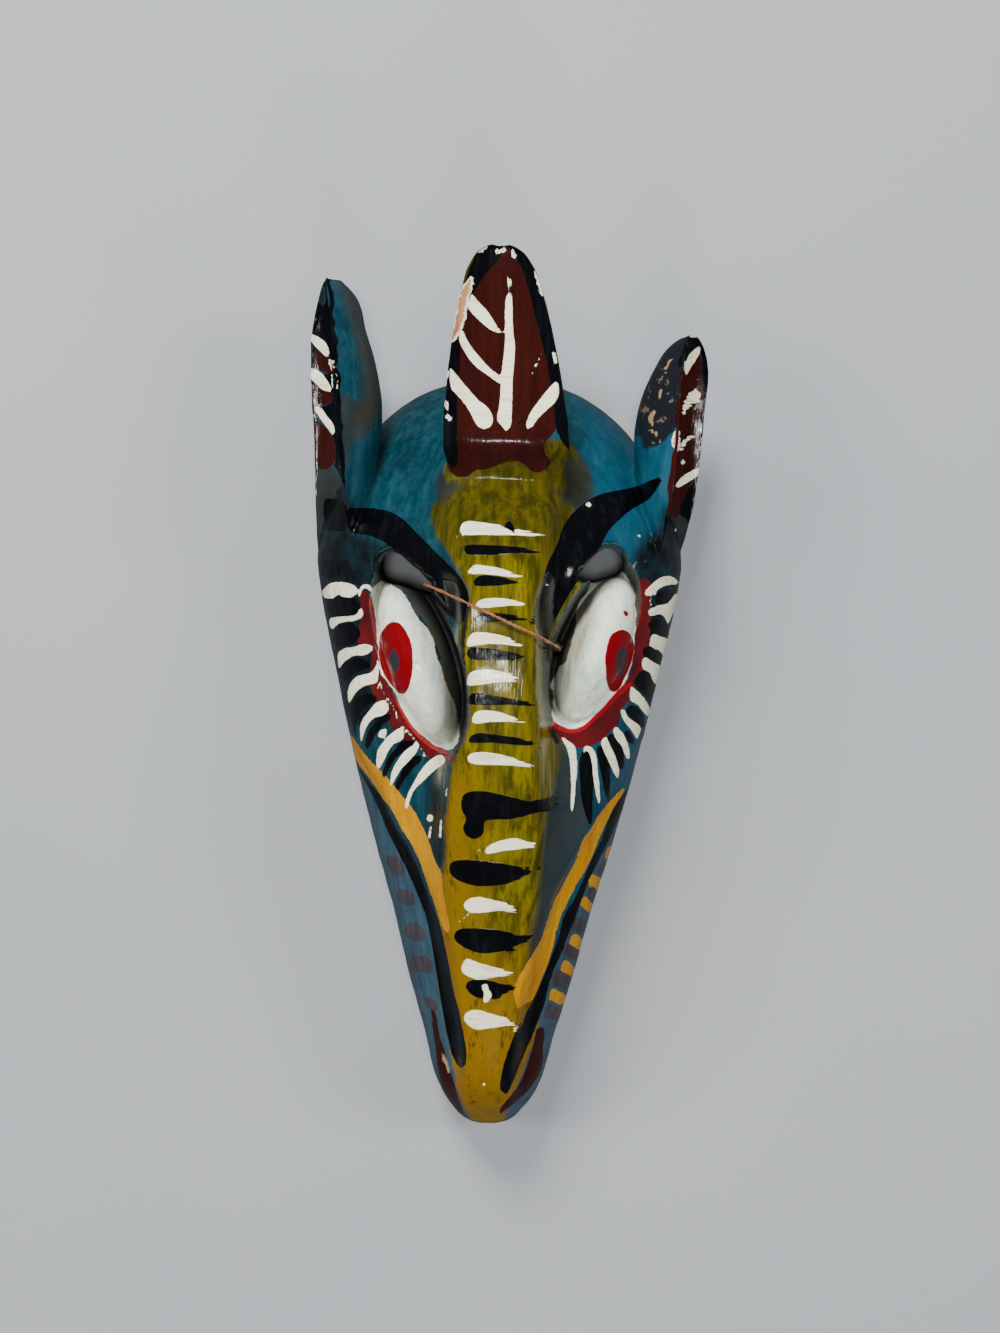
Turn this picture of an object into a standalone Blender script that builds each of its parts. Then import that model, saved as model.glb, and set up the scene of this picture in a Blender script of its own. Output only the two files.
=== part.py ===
"""Carved wooden animal mask: one hollow block of wood with a horn and two ears, and a tie wire.

The mask lies on the flat back rim with its face up. +X is the viewer's right, +Y runs from
the snout tip to the ears and the horn, +Z comes out of the face. Sizes are in millimetres
and a mesh is made in metres. The profiles are shares of the lengths named here.
"""

import math

import bmesh
import bpy
import numpy as np

MM = 0.001

# Driving sizes of the head
HEAD_LENGTH = 306.0
HEAD_WIDTH = 160.5
FACE_DEPTH = 97.0
WALL = 11.0
HOLLOW_DEPTH = 60.0
# The round snout tip stands out this far before the first station of the profiles
NOSE_REACH = 8.0
# The crown stands out this far behind the last station
CROWN_REACH = 12.5
CROWN = HEAD_LENGTH + CROWN_REACH
# The carved middle line stands this far from the middle plane of the ears
HEAD_LEAN = -1.2
LIP_STEP = 7.0
MOUTH_GROOVE = 3.0
MOUTH_GROOVE_WIDTH = 4.5

# Driving sizes of the eyes, sockets and brows, placed by the eye line
EYE_LINE = 0.652 * HEAD_LENGTH
# An eye: length, width, centre (x, and y from the eye line) and tilt in degrees
LEFT_EYE = (76.0, 29.0, -33.5, -6.0, 20.0)
RIGHT_EYE = (67.0, 28.0, 39.0, 0.0, 20.0)
EYE_FLOOR = 50.0
EYE_RISE = 27.0
# The eyeball goes on this far below the socket's floor
EYE_ROOT = 3.0
SOCKET_MARGIN = 1.4
SOCKET_SHIFT = 1.5
# The bowl round an eyeball: share of its plan, and height from the floor
SOCKET_LEVELS = ((0.5, -4.0), (0.86, 0.0), (0.98, 12.0))
SOCKET_FLARE = 1.03
BROW_RISE = 7.0
BROW_WIDTH = 14.0
# A slot: its wide outer end and its narrow inner end, each (x, y from the eye line, radius)
LEFT_SLOT = ((-44.5, 31.5, 5.6), (-30.0, 24.0, 1.6))
RIGHT_SLOT = ((43.5, 35.5, 5.6), (33.0, 29.5, 1.8))

# Driving sizes of the horn and the ears
HORN_LENGTH = 98.0
HORN_WIDTH = 50.0
HORN_THICKNESS = 24.0
HORN_SCOOP = 7.0
HORN_FOOT_BULGE = 5.0
LEFT_EAR_LENGTH = 114.0
RIGHT_EAR_LENGTH = 94.0
EAR_SPREAD = 162.0
EAR_FOOT = 0.775 * HEAD_LENGTH
EAR_THICKNESS = 9.0

# Driving sizes of the tie wire
WIRE_DIAMETER = 1.3
WIRE_STEP = 3.5
WIRE_HOLE_DIAMETER = 4.0
WIRE_HOLE = (23.5, 0.0)
# The wire's route, chosen by hand: up through the left slot, over the bridge of the nose, down
# through the hole beside the right eyeball, and back behind the bridge. y is taken from the eye
# line, and z over the rim.
WIRE_ROUTE = ((-7, 14.5, 35), (-19, 20.3, 34.5), (-27.5, 23.7, 34.8), (-30.8, 24.7, 41),
              (-31, 24.8, 55), (-30.8, 24.7, 72), (-27.5, 23.1, 83.5), (-19.5, 19.4, 92.8),
              (-14.5, 17.1, 98.5), (-9, 14.6, 98.9), (0, 10.6, 98.3), (8, 7.0, 97.9),
              (12.5, 5.1, 96.9), (17, 3.2, 90.5), (20.5, 1.6, 84.5), (22.8, 0.5, 77.5),
              (23.5, 0.0, 70), (23.5, 0.0, 46), (23, 0.2, 39.5), (20, 1.5, 35), (13, 4.9, 34.5),
              (3, 10.0, 34.5))

# Mesh steps
HEAD_ROWS = 66
HEAD_COLUMNS = 40
CAVITY_ROWS = 30
CAVITY_COLUMNS = 18
CAVITY_LEAST = 4.0
CUT_FLOOR = -10.0
CUT_TOP = 1.4 * FACE_DEPTH
# The hollow starts this many walls from the snout's end, keeps this many from the sides, and its
# two ends come to a point this far out
CAVITY_START = 1.6
CAVITY_SIDE = 0.9
POLE_REACH = 1.0
SLOT_STEPS = 8
HOLE_STEPS = 10
EYE_STEPS = 24
EYE_LEVELS = 6
LEAF_ROWS = 14
LEAF_STEPS = 7
# A leaf's rows crowd to its tip by this power; its back and its hollow are rounded by these
ROW_POWERS = {"ear": 0.9, "horn": 0.85}
BACK_POWER = 0.9
HOLLOW_POWER = 1.2
# An ear's hollow is at least this share of its bulge
LEAST_HOLLOW = 0.2
# Rows of points crowd into these shares of a domed form's two ends
ROUND_ENDS = (0.05, 0.06)

# The head's plan is closed round at both ends, over these shares of its length
TIP_ROUNDING = 30.0 / 306.0
TOP_ROUNDING = 84.0 / 306.0
# Powers of the rounding in plan, of the crown's fall to its end, and up the sides
PLAN_POWER = 2.45
TOP_POWER = 1.6
DOME_POWER = 2.7

# Profiles along the head: a share of HEAD_LENGTH, then a share of the half width or depth
PLAN = ((0.0, 0.27), (0.075, 0.332), (0.19, 0.456), (0.28, 0.545), (0.39, 0.668),
        (0.49, 0.77), (0.62, 0.885), (0.75, 0.985), (1.0, 1.0))
CREST = ((0.0, 0.42), (0.075, 0.56), (0.19, 0.69), (0.33, 0.81), (0.46, 0.92),
         (0.62, 1.0), (0.75, 0.97), (0.86, 0.88), (0.95, 0.76), (1.0, 0.68))
CHEEK = ((0.0, 0.37), (0.075, 0.49), (0.19, 0.60), (0.33, 0.67), (0.46, 0.71),
         (0.62, 0.73), (0.75, 0.77), (0.86, 0.76), (0.95, 0.69), (1.0, 0.63))
RIDGE = ((0.0, 0.16), (0.075, 0.15), (0.19, 0.20), (0.33, 0.29), (0.43, 0.29),
         (0.50, 0.26), (0.56, 0.245), (0.66, 0.235), (0.71, 0.22), (0.76, 0.26),
         (0.86, 0.32), (1.0, 0.35))
MOUTH = ((0.0, 0.06), (0.065, 0.085), (0.10, 0.125), (0.15, 0.155), (0.20, 0.215),
         (0.26, 0.262), (0.33, 0.345), (0.36, 0.40), (0.42, 0.55), (0.46, 0.62),
         (0.53, 0.80), (0.60, 0.93))
MOUTH_START = 0.05
MOUTH_END = 0.55
# The mouth's step comes in over this share of the length at each end, from this far inside the line
MOUTH_RUN_IN = 0.05
MOUTH_LEAD = -1.5
# The bridge falls off between these shares of its half width, and is crowned by this share of it
FLANK = (0.70, 1.25)
RIDGE_CROWN = 0.06
# The hollow keeps clear of each eye between these shares of its socket
EYE_CLEAR = (0.9, 3.2)

# Ear stations: share of the ear's length, back rim (x, z), front rim (x, z), bulge.
# x counts outwards from half of EAR_SPREAD.
LEFT_EAR = ((0.0, -1.5, 24, -20, 58, 6), (0.21, 0.5, 28, -15.5, 71, 18.5), (0.46, 2, 32, -11.5, 73, 26),
            (0.64, 3, 36, -9.6, 70, 26), (0.82, 2, 41, -8, 64, 20.5), (0.95, -2, 46, -6, 57, 14),
            (1.0, -5, 50, -5.5, 53, 6))
RIGHT_EAR = ((0.0, -6, 24, -17, 58, 6), (0.24, 1, 28, -12.6, 70, 19), (0.50, 4, 32, -10, 70, 25),
             (0.71, 5, 36, -8.8, 65, 24.3), (0.86, 5, 40, -7.4, 60, 19.6), (0.95, 2, 44, -6.5, 55, 13.4),
             (1.0, -2, 48, -5, 51, 6))

# Horn stations: share of the horn's length, half width and thickness shares, rim height
HORN = ((0.0, 0.90, 1.0, 74), (0.08, 0.97, 1.0, 77.5), (0.19, 1.0, 1.0, 82.5), (0.40, 0.93, 0.9, 82),
        (0.61, 0.81, 0.75, 79), (0.81, 0.64, 0.6, 77), (0.91, 0.50, 0.5, 76), (0.975, 0.29, 0.35, 75),
        (1.0, 0.10, 0.2, 74))
HORN_FOOT = 0.858 * HEAD_LENGTH
# x of the horn's middle at its foot, and how much that moves for each millimetre up the horn
HORN_MIDDLE = 1.5
HORN_LEAN = -0.05
# Shares of the horn's length where its front hollow starts and is full, and where the foot bulges
SCOOP_SHARES = (0.20, 0.36)
BULGE_SHARES = (0.15, 0.10)


def along(profile, share, column=1):
    """A smooth curve through a profile's stations."""
    stations = np.array([row[0] for row in profile], float)
    values = np.array([row[column] for row in profile], float)
    slopes = np.gradient(values, stations)
    share = np.clip(share, stations[0], stations[-1])
    i = np.clip(np.searchsorted(stations, share, side="right") - 1, 0, len(stations) - 2)
    gap = stations[i + 1] - stations[i]
    t = (share - stations[i]) / gap
    return ((2 * t**3 - 3 * t**2 + 1) * values[i] + (t**3 - 2 * t**2 + t) * gap * slopes[i]
            + (3 * t**2 - 2 * t**3) * values[i + 1] + (t**3 - t**2) * gap * slopes[i + 1])


def ease(low, high, value):
    t = np.clip((value - low) / (high - low), 0.0, 1.0)
    return t * t * (3 - 2 * t)


def end_fall(y):
    """0 along the head's length, and up to 1 at its two round ends."""
    tip = np.clip((TIP_ROUNDING - (y + NOSE_REACH) / HEAD_LENGTH) / TIP_ROUNDING, 0.0, 1.0)
    top = np.clip(((y - CROWN_REACH) / HEAD_LENGTH - 1 + TOP_ROUNDING) / TOP_ROUNDING, 0.0, 1.0)
    return np.maximum(tip**PLAN_POWER, top**TOP_POWER)


def half_plan(y):
    return HEAD_WIDTH / 2 * along(PLAN, y / HEAD_LENGTH)


def outline(y):
    return half_plan(y) * (1 - end_fall(y)) ** (1 / PLAN_POWER)


def socket_share(x, y, eye, margin):
    """Distance from an eye's centre, as a share of the almond that the margin puts round it."""
    length, width, cx, cy, tilt = eye
    lean = math.radians(tilt) * math.copysign(1, cx)
    dx = x - cx
    dy = y - EYE_LINE - cy
    up = dx * math.sin(lean) + dy * math.cos(lean)
    out = dx * math.cos(lean) - dy * math.sin(lean)
    return np.hypot(up / (length / 2 + margin), out / (width / 2 + margin)), up


def face_height(x, y):
    """Height of the carved face over the back rim."""
    x = np.asarray(x, float)
    y = np.asarray(y, float)
    share = y / HEAD_LENGTH
    reach = np.abs(x - HEAD_LEAN)
    spread = (reach / half_plan(y)) ** PLAN_POWER + end_fall(y)
    dome = np.clip(1 - spread, 0.0, 1.0) ** (1 / DOME_POWER)
    cheek = FACE_DEPTH * along(CHEEK, share)
    crest = FACE_DEPTH * along(CREST, share)
    height = cheek * dome
    # The lower jaw steps down outside the mouth line
    mouth = HEAD_WIDTH / 2 * along(MOUTH, share)
    open_share = ease(MOUTH_START, MOUTH_START + MOUTH_RUN_IN, share)
    open_share *= 1 - ease(MOUTH_END - MOUTH_RUN_IN, MOUTH_END, share)
    beyond = reach - mouth
    height -= open_share * LIP_STEP * ease(MOUTH_LEAD, MOUTH_GROOVE_WIDTH, beyond) * dome
    height -= open_share * MOUTH_GROOVE * np.exp(-(beyond / MOUTH_GROOVE_WIDTH * 2) ** 2)
    # The bridge of the nose runs on as a ridge over the forehead
    ridge_half = HEAD_WIDTH / 2 * along(RIDGE, share)
    ridge = (crest - RIDGE_CROWN * (reach / ridge_half) ** 2 * ridge_half) * dome
    flank = ease(*FLANK, reach / ridge_half)
    height = height * flank + ridge * (1 - flank)
    # The brows swell round the upper edge of each socket
    for eye in (LEFT_EYE, RIGHT_EYE):
        socket, up = socket_share(x, y, eye, SOCKET_MARGIN + BROW_WIDTH / 2)
        brow = np.exp(-((socket - 1.0) * eye[1] / BROW_WIDTH) ** 2) * ease(0.0, 0.45 * eye[0], up)
        height = height + BROW_RISE * brow * dome
    return np.maximum(height, 0.0)


def cavity_height(x, y):
    """The face moved inwards by the wall, and kept that far below the eye sockets too."""
    lowest = face_height(x, y) - WALL
    for ring in (0.35, 0.7, 1.0):
        drop = WALL * math.sqrt(1 - ring**2)
        for step in range(12):
            turn = 2 * math.pi * step / 12
            px = x + WALL * ring * math.cos(turn)
            py = y + WALL * ring * math.sin(turn)
            inside = (np.abs(px - HEAD_LEAN) < outline(py)) & (py > -NOSE_REACH) & (py < CROWN)
            lowest = np.minimum(lowest, np.where(inside, face_height(px, py), 0.0) - drop)
    for eye in (LEFT_EYE, RIGHT_EYE):
        share, _ = socket_share(x, y, eye, SOCKET_MARGIN + WALL)
        lowest = np.minimum(lowest, EYE_FLOOR - WALL + FACE_DEPTH * ease(*EYE_CLEAR, share))
    return np.minimum(lowest, HOLLOW_DEPTH)


def new_material(name, colour, roughness, metallic=0.0):
    material = bpy.data.materials.new(name)
    material.use_nodes = True
    shader = material.node_tree.nodes["Principled BSDF"]
    shader.inputs["Base Color"].default_value = (*colour, 1.0)
    shader.inputs["Roughness"].default_value = roughness
    shader.inputs["Metallic"].default_value = metallic
    return material


def new_object(name, points, faces, material=None):
    mesh = bpy.data.meshes.new(name)
    mesh.from_pydata([tuple(c * MM for c in point) for point in points], [], faces)
    work = bmesh.new()
    work.from_mesh(mesh)
    bmesh.ops.remove_doubles(work, verts=work.verts, dist=0.00002)
    bmesh.ops.recalc_face_normals(work, faces=work.faces)
    work.to_mesh(mesh)
    work.free()
    obj = bpy.data.objects.new(name, mesh)
    bpy.context.scene.collection.objects.link(obj)
    if material:
        mesh.materials.append(material)
        mesh.shade_smooth()
        mesh.set_sharp_from_angle(angle=math.radians(40))
    return obj


def helper(obj):
    obj.hide_render = True
    obj.display_type = "WIRE"
    return obj


def combine(target, other, operation):
    modifier = target.modifiers.new(other.name, "BOOLEAN")
    modifier.operation = operation
    modifier.object = other
    modifier.solver = "EXACT"


def spread_steps(count, rounding_low, rounding_high):
    """Shares from 0 to 1, closer together in the two round ends."""
    t = np.linspace(0.0, 1.0, count)
    even = np.linspace(0.0, 1.0, 400)
    weight = 1 + 3.0 * np.exp(-even / rounding_low) + 2.5 * np.exp(-(1 - even) / rounding_high)
    total = np.concatenate([[0.0], np.cumsum((weight[1:] + weight[:-1]) / 2)])
    return np.interp(t * total[-1], total, even)


def dome_points(rows, columns, half_width, height, start, end, edge):
    """Rows of points over a domed form, each with its two ends at the edge's height."""
    shares = spread_steps(rows + 1, *ROUND_ENDS)[1:-1]
    turns = np.sin(np.linspace(-0.5, 0.5, columns + 1) * math.pi)
    points = []
    for share in shares:
        y = start + share * (end - start)
        x = half_width(y) * turns + HEAD_LEAN
        z = height(x, np.full_like(x, y))
        z[0] = edge
        z[-1] = edge
        points.append([(float(a), float(y), float(b)) for a, b in zip(x, z)])
    return points


def dome_solid(name, points, low_pole, high_pole, floor, material=None):
    """Closes rows of points with a fan at each pole and a flat underside at the floor height."""
    rows = len(points)
    columns = len(points[0])
    flat = [point for row in points for point in row]
    left = len(flat)
    for row in points:
        flat.append((row[0][0], row[0][1], floor))
        flat.append((row[-1][0], row[-1][1], floor))
    low = len(flat)
    flat.append(low_pole)
    high = len(flat)
    flat.append(high_pole)
    faces = []
    for r in range(rows - 1):
        for c in range(columns - 1):
            a = r * columns + c
            faces.append((a, a + 1, a + 1 + columns, a + columns))
        a = left + 2 * r
        faces.append((a, a + 2, a + 3, a + 1))
        faces.append((r * columns, (r + 1) * columns, a + 2, a))
        faces.append((r * columns + columns - 1, a + 1, a + 3, (r + 1) * columns + columns - 1))
    for r, pole in ((0, low), (rows - 1, high)):
        for c in range(columns - 1):
            faces.append((r * columns + c, r * columns + c + 1, pole))
        a = left + 2 * r
        faces.append((a, a + 1, pole))
        faces.append((a, r * columns, pole))
        faces.append((a + 1, r * columns + columns - 1, pole))
    return new_object(name, flat, faces, material)


def crescent(back, front, bulge, hollow):
    """A leaf's section between two rims, in x and z: a bulging back, and a front hollowed that deep."""
    back = np.array(back, float)
    front = np.array(front, float)
    chord = front - back
    length = np.hypot(*chord)
    outward = np.array([chord[1], -chord[0]]) / length
    ring = []
    for step in range(2 * LEAF_STEPS):
        going = step < LEAF_STEPS
        t = step / LEAF_STEPS if going else 2 - step / LEAF_STEPS
        turn = math.pi * t
        place = back + chord * (1 - math.cos(turn)) / 2
        depth = bulge if going else hollow
        ring.append(place + outward * depth * math.sin(turn) ** (BACK_POWER if going else HOLLOW_POWER))
    return ring


def leaf_solid(name, sections):
    """Joins closed sections in order and closes both ends."""
    count = len(sections[0])
    points = [point for section in sections for point in section]
    faces = [tuple(range(count)), tuple((len(sections) - 1) * count + i for i in reversed(range(count)))]
    for r in range(len(sections) - 1):
        for i in range(count):
            a = r * count
            b = a + count
            j = (i + 1) % count
            faces.append((a + i, a + j, b + j, b + i))
    return new_object(name, points, faces)


def ear(name, stations, side, length):
    """A leaf-shaped ear, hollowed on its outer face; it is made on the left and mirrored for the right."""
    sections = []
    for share in np.linspace(0.0, 1.0, LEAF_ROWS) ** ROW_POWERS["ear"]:
        back_x, back_z, front_x, front_z, bulge = (float(along(stations, share, c)) for c in range(1, 6))
        hollow = max(bulge - EAR_THICKNESS, LEAST_HOLLOW * bulge)
        ring = crescent((-EAR_SPREAD / 2 - back_x, back_z), (-EAR_SPREAD / 2 - front_x, front_z), bulge, hollow)
        sections.append([(float(-side * x), EAR_FOOT + share * length, float(z)) for x, z in ring])
    return helper(leaf_solid(name, sections))


def horn():
    """The horn leans over the forehead: a bulge at its foot, and a front hollowed up to its tip."""
    sections = []
    for share in np.linspace(0.0, 1.0, LEAF_ROWS) ** ROW_POWERS["horn"]:
        half = HORN_WIDTH / 2 * float(along(HORN, share))
        thick = HORN_THICKNESS * float(along(HORN, share, 2))
        rim = float(along(HORN, share, 3))
        y = HORN_FOOT + share * HORN_LENGTH
        centre = HORN_MIDDLE + HORN_LEAN * (y - HORN_FOOT)
        scoop = HORN_SCOOP * ease(*SCOOP_SHARES, share) * half / (HORN_WIDTH / 2)
        scoop -= HORN_FOOT_BULGE * math.exp(-((share - BULGE_SHARES[0]) / BULGE_SHARES[1]) ** 2)
        ring = crescent((centre - half, rim), (centre + half, rim), thick, scoop)
        sections.append([(float(x), y, float(z)) for x, z in ring])
    return helper(leaf_solid("horn_form", sections))


def prism(name, corners):
    """A cutter that runs upright through the face."""
    points = [(x, y, CUT_FLOOR) for x, y in corners] + [(x, y, CUT_TOP) for x, y in corners]
    count = len(corners)
    faces = [tuple(range(count)), tuple(range(2 * count - 1, count - 1, -1))]
    for i in range(count):
        j = (i + 1) % count
        faces.append((i, j, j + count, i + count))
    return helper(new_object(name, points, faces))


def eye_slot(name, ends):
    """The see-through slot under the brow: wide at its outer end and narrow at the nose."""
    (wide_x, wide_y, wide), (narrow_x, narrow_y, narrow) = ends
    heading = math.atan2(narrow_y - wide_y, narrow_x - wide_x)
    corners = []
    for centre_x, centre_y, radius, first in ((wide_x, wide_y, wide, heading + math.pi / 2),
                                              (narrow_x, narrow_y, narrow, heading - math.pi / 2)):
        for step in range(SLOT_STEPS + 1):
            turn = first + math.pi * step / SLOT_STEPS
            corners.append((centre_x + radius * math.cos(turn), EYE_LINE + centre_y + radius * math.sin(turn)))
    return prism(name, corners)


def almond_rings(eye, margin, shift, levels):
    """Rings round an eye's long axis at several levels, each (share of the plan, height)."""
    length, width, cx, cy, tilt = eye
    side = math.copysign(1, cx)
    lean = math.radians(tilt) * side
    rings = []
    for share, z in levels:
        ring = []
        for step in range(EYE_STEPS):
            turn = 2 * math.pi * step / EYE_STEPS
            out = (width / 2 + margin) * share * math.cos(turn) - shift * side
            up = (length / 2 + margin) * share * math.sin(turn) + shift
            ring.append((cx + out * math.cos(lean) + up * math.sin(lean),
                         EYE_LINE + cy - out * math.sin(lean) + up * math.cos(lean), z))
        rings.append(ring)
    return rings


def socket_form(name, eye):
    """The bowl that is cut round an eyeball, steep beside the nose and under the brow."""
    levels = [(share, EYE_FLOOR + z) for share, z in SOCKET_LEVELS] + [(SOCKET_FLARE, CUT_TOP)]
    return helper(leaf_solid(name, almond_rings(eye, SOCKET_MARGIN, SOCKET_SHIFT, levels)))


def eyeball_form(name, eye):
    """A bulging almond eyeball that stands on the socket's floor."""
    levels = [(0.9, EYE_FLOOR - 3 * EYE_ROOT), (1.0, EYE_FLOOR - EYE_ROOT)]
    for step in range(1, EYE_LEVELS):
        turn = math.pi / 2 * step / EYE_LEVELS
        levels.append((math.cos(turn), EYE_FLOOR - EYE_ROOT + (EYE_RISE + EYE_ROOT) * math.sin(turn)))
    return helper(leaf_solid(name, almond_rings(eye, 0.0, 0.0, levels)))


def ear_reach(stations):
    """How far an ear stands out from the middle plane of the mask."""
    shares = np.linspace(0.0, 1.0, 60)
    return EAR_SPREAD / 2 + float(np.max(along(stations, shares)))


def clear_scene():
    for obj in list(bpy.data.objects):
        bpy.data.objects.remove(obj)


def smooth_route(route, step):
    """Points a step apart on a smooth curve through a route's own points."""
    route = np.array(route, float)
    run = np.concatenate([[0.0], np.cumsum(np.linalg.norm(np.diff(route, axis=0), axis=1))])
    places = np.linspace(0.0, run[-1], int(run[-1] / step) + 1)
    profiles = [np.column_stack([run, route[:, axis]]) for axis in range(3)]
    return np.column_stack([along(profile, places) for profile in profiles])


def tie_wire():
    """One copper-coloured wire, held round the bridge of the nose."""
    points = smooth_route(WIRE_ROUTE, WIRE_STEP)
    curve = bpy.data.curves.new("tie_wire", "CURVE")
    curve.dimensions = "3D"
    curve.bevel_depth = WIRE_DIAMETER / 2 * MM
    curve.bevel_resolution = 2
    curve.use_fill_caps = True
    spline = curve.splines.new("POLY")
    spline.points.add(len(points) - 1)
    for place, point in zip(spline.points, points):
        x, y, z = (float(c) for c in point)
        place.co = (x * MM, (EYE_LINE + y) * MM, z * MM, 1.0)
    curve.materials.append(new_material("copper_wire", (0.45, 0.22, 0.10), 0.35, 1.0))
    wire = bpy.data.objects.new("tie_wire", curve)
    bpy.context.scene.collection.objects.link(wire)


def wire_hole():
    turns = [2 * math.pi * step / HOLE_STEPS for step in range(HOLE_STEPS)]
    radius = WIRE_HOLE_DIAMETER / 2
    x, y = WIRE_HOLE
    return prism("wire_hole_form", [(x + radius * math.cos(t), EYE_LINE + y + radius * math.sin(t)) for t in turns])


def make_mask():
    paint = new_material("painted_wood", (0.20, 0.17, 0.03), 0.3)
    rows = dome_points(HEAD_ROWS, HEAD_COLUMNS, outline, face_height, -NOSE_REACH, CROWN, 0.0)
    return dome_solid("mask", rows, (HEAD_LEAN, -NOSE_REACH, 0.0), (HEAD_LEAN, CROWN, 0.0), 0.0, paint)


def cavity():
    """The hollow behind the face, open at the back rim."""
    start = CAVITY_START * WALL - NOSE_REACH
    end = CROWN - WALL
    rows = dome_points(CAVITY_ROWS, CAVITY_COLUMNS, lambda y: np.maximum(outline(y) - CAVITY_SIDE * WALL, 1.0),
                       lambda x, y: np.maximum(cavity_height(x, y), CAVITY_LEAST), start, end, CUT_FLOOR)
    return helper(dome_solid("cavity_form", rows, (HEAD_LEAN, start - POLE_REACH, CUT_FLOOR),
                             (HEAD_LEAN, end + POLE_REACH, CUT_FLOOR), CUT_FLOOR))


def place_in_frame():
    """Moves everything so that the origin is below the middle of the whole mask."""
    middle_x = (ear_reach(RIGHT_EAR) - ear_reach(LEFT_EAR)) / 2
    middle_y = (HORN_FOOT + HORN_LENGTH - NOSE_REACH) / 2
    frame = bpy.data.objects.new("mask_frame", None)
    frame.location = (-middle_x * MM, -middle_y * MM, 0.0)
    for obj in list(bpy.context.scene.collection.objects):
        obj.parent = frame
    bpy.context.scene.collection.objects.link(frame)


def build():
    clear_scene()
    mask = make_mask()
    combine(mask, ear("left_ear_form", LEFT_EAR, -1, LEFT_EAR_LENGTH), "UNION")
    combine(mask, ear("right_ear_form", RIGHT_EAR, 1, RIGHT_EAR_LENGTH), "UNION")
    combine(mask, horn(), "UNION")
    for name, eye in (("left", LEFT_EYE), ("right", RIGHT_EYE)):
        combine(mask, socket_form(name + "_socket_form", eye), "DIFFERENCE")
    for name, eye in (("left", LEFT_EYE), ("right", RIGHT_EYE)):
        combine(mask, eyeball_form(name + "_eyeball_form", eye), "UNION")
    combine(mask, cavity(), "DIFFERENCE")
    for name, ends in (("left_slot_form", LEFT_SLOT), ("right_slot_form", RIGHT_SLOT)):
        combine(mask, eye_slot(name, ends), "DIFFERENCE")
    combine(mask, wire_hole(), "DIFFERENCE")
    tie_wire()
    place_in_frame()


build()
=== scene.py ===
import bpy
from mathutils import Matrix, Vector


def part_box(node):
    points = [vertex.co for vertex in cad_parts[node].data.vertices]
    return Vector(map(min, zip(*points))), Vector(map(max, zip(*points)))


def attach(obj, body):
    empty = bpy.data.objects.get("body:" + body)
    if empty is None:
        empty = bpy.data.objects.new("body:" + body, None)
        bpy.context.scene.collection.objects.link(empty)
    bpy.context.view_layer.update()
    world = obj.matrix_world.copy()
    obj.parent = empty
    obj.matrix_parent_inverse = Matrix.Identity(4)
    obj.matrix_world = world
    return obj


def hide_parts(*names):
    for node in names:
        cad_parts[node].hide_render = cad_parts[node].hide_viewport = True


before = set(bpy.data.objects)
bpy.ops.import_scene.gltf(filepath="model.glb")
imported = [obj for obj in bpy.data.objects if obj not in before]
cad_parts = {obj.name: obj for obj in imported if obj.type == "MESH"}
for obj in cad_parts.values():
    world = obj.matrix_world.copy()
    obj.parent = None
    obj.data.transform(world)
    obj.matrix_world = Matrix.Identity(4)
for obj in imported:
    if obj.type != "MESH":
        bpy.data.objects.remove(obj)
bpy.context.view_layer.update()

import math

import bmesh
import bpy
import numpy as np
from bpy.props import FloatProperty, FloatVectorProperty, IntProperty, PointerProperty
from mathutils import Vector, noise

bl_info = {
    "name": "Painted animal mask",
    "version": (1, 0, 0),
    "blender": (4, 5, 0),
    "location": "3D View > Sidebar > Mask",
    "description": "Carves and paints a wooden animal mask with a tie wire",
    "category": "Object",
}

MM = 0.001

# The head, in millimetres from the snout tip, and the shares of it that the profiles give
HEAD_LENGTH = 306.0
HEAD_WIDTH = 160.5
HEAD_LEAN = -1.2
NOSE_REACH = 8.0
CROWN_REACH = 12.5
CROWN = HEAD_LENGTH + CROWN_REACH
FACE_DEPTH = 97.0
WALL = 11.0
HOLLOW_DEPTH = 60.0
LIP_STEP = 7.0
MOUTH_GROOVE = 3.0
MOUTH_GROOVE_WIDTH = 4.5
TIP_ROUNDING = 30.0 / 306.0
TOP_ROUNDING = 84.0 / 306.0
PLAN_POWER = 2.45
TOP_POWER = 1.6
DOME_POWER = 2.7
PLAN = ((0.0, 0.27), (0.075, 0.332), (0.19, 0.456), (0.28, 0.545), (0.39, 0.668),
        (0.49, 0.77), (0.62, 0.885), (0.75, 0.985), (1.0, 1.0))
CREST = ((0.0, 0.42), (0.075, 0.56), (0.19, 0.69), (0.33, 0.81), (0.46, 0.92),
         (0.62, 1.0), (0.75, 0.97), (0.86, 0.88), (0.95, 0.76), (1.0, 0.68))
CHEEK = ((0.0, 0.37), (0.075, 0.49), (0.19, 0.60), (0.33, 0.67), (0.46, 0.71),
         (0.62, 0.73), (0.75, 0.77), (0.86, 0.76), (0.95, 0.69), (1.0, 0.63))
RIDGE = ((0.0, 0.16), (0.075, 0.15), (0.19, 0.20), (0.33, 0.29), (0.43, 0.29),
         (0.50, 0.26), (0.56, 0.245), (0.66, 0.235), (0.71, 0.22), (0.76, 0.26),
         (0.86, 0.32), (1.0, 0.35))
MOUTH = ((0.0, 0.06), (0.065, 0.085), (0.10, 0.125), (0.15, 0.155), (0.20, 0.215),
         (0.26, 0.262), (0.33, 0.345), (0.36, 0.40), (0.42, 0.55), (0.46, 0.62),
         (0.53, 0.80), (0.60, 0.93))
MOUTH_START = 0.05
MOUTH_END = 0.55
MOUTH_RUN_IN = 0.05
MOUTH_LEAD = 1.5
RIDGE_FALL = 0.06
RIDGE_FLANK = (0.70, 1.25)

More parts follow.
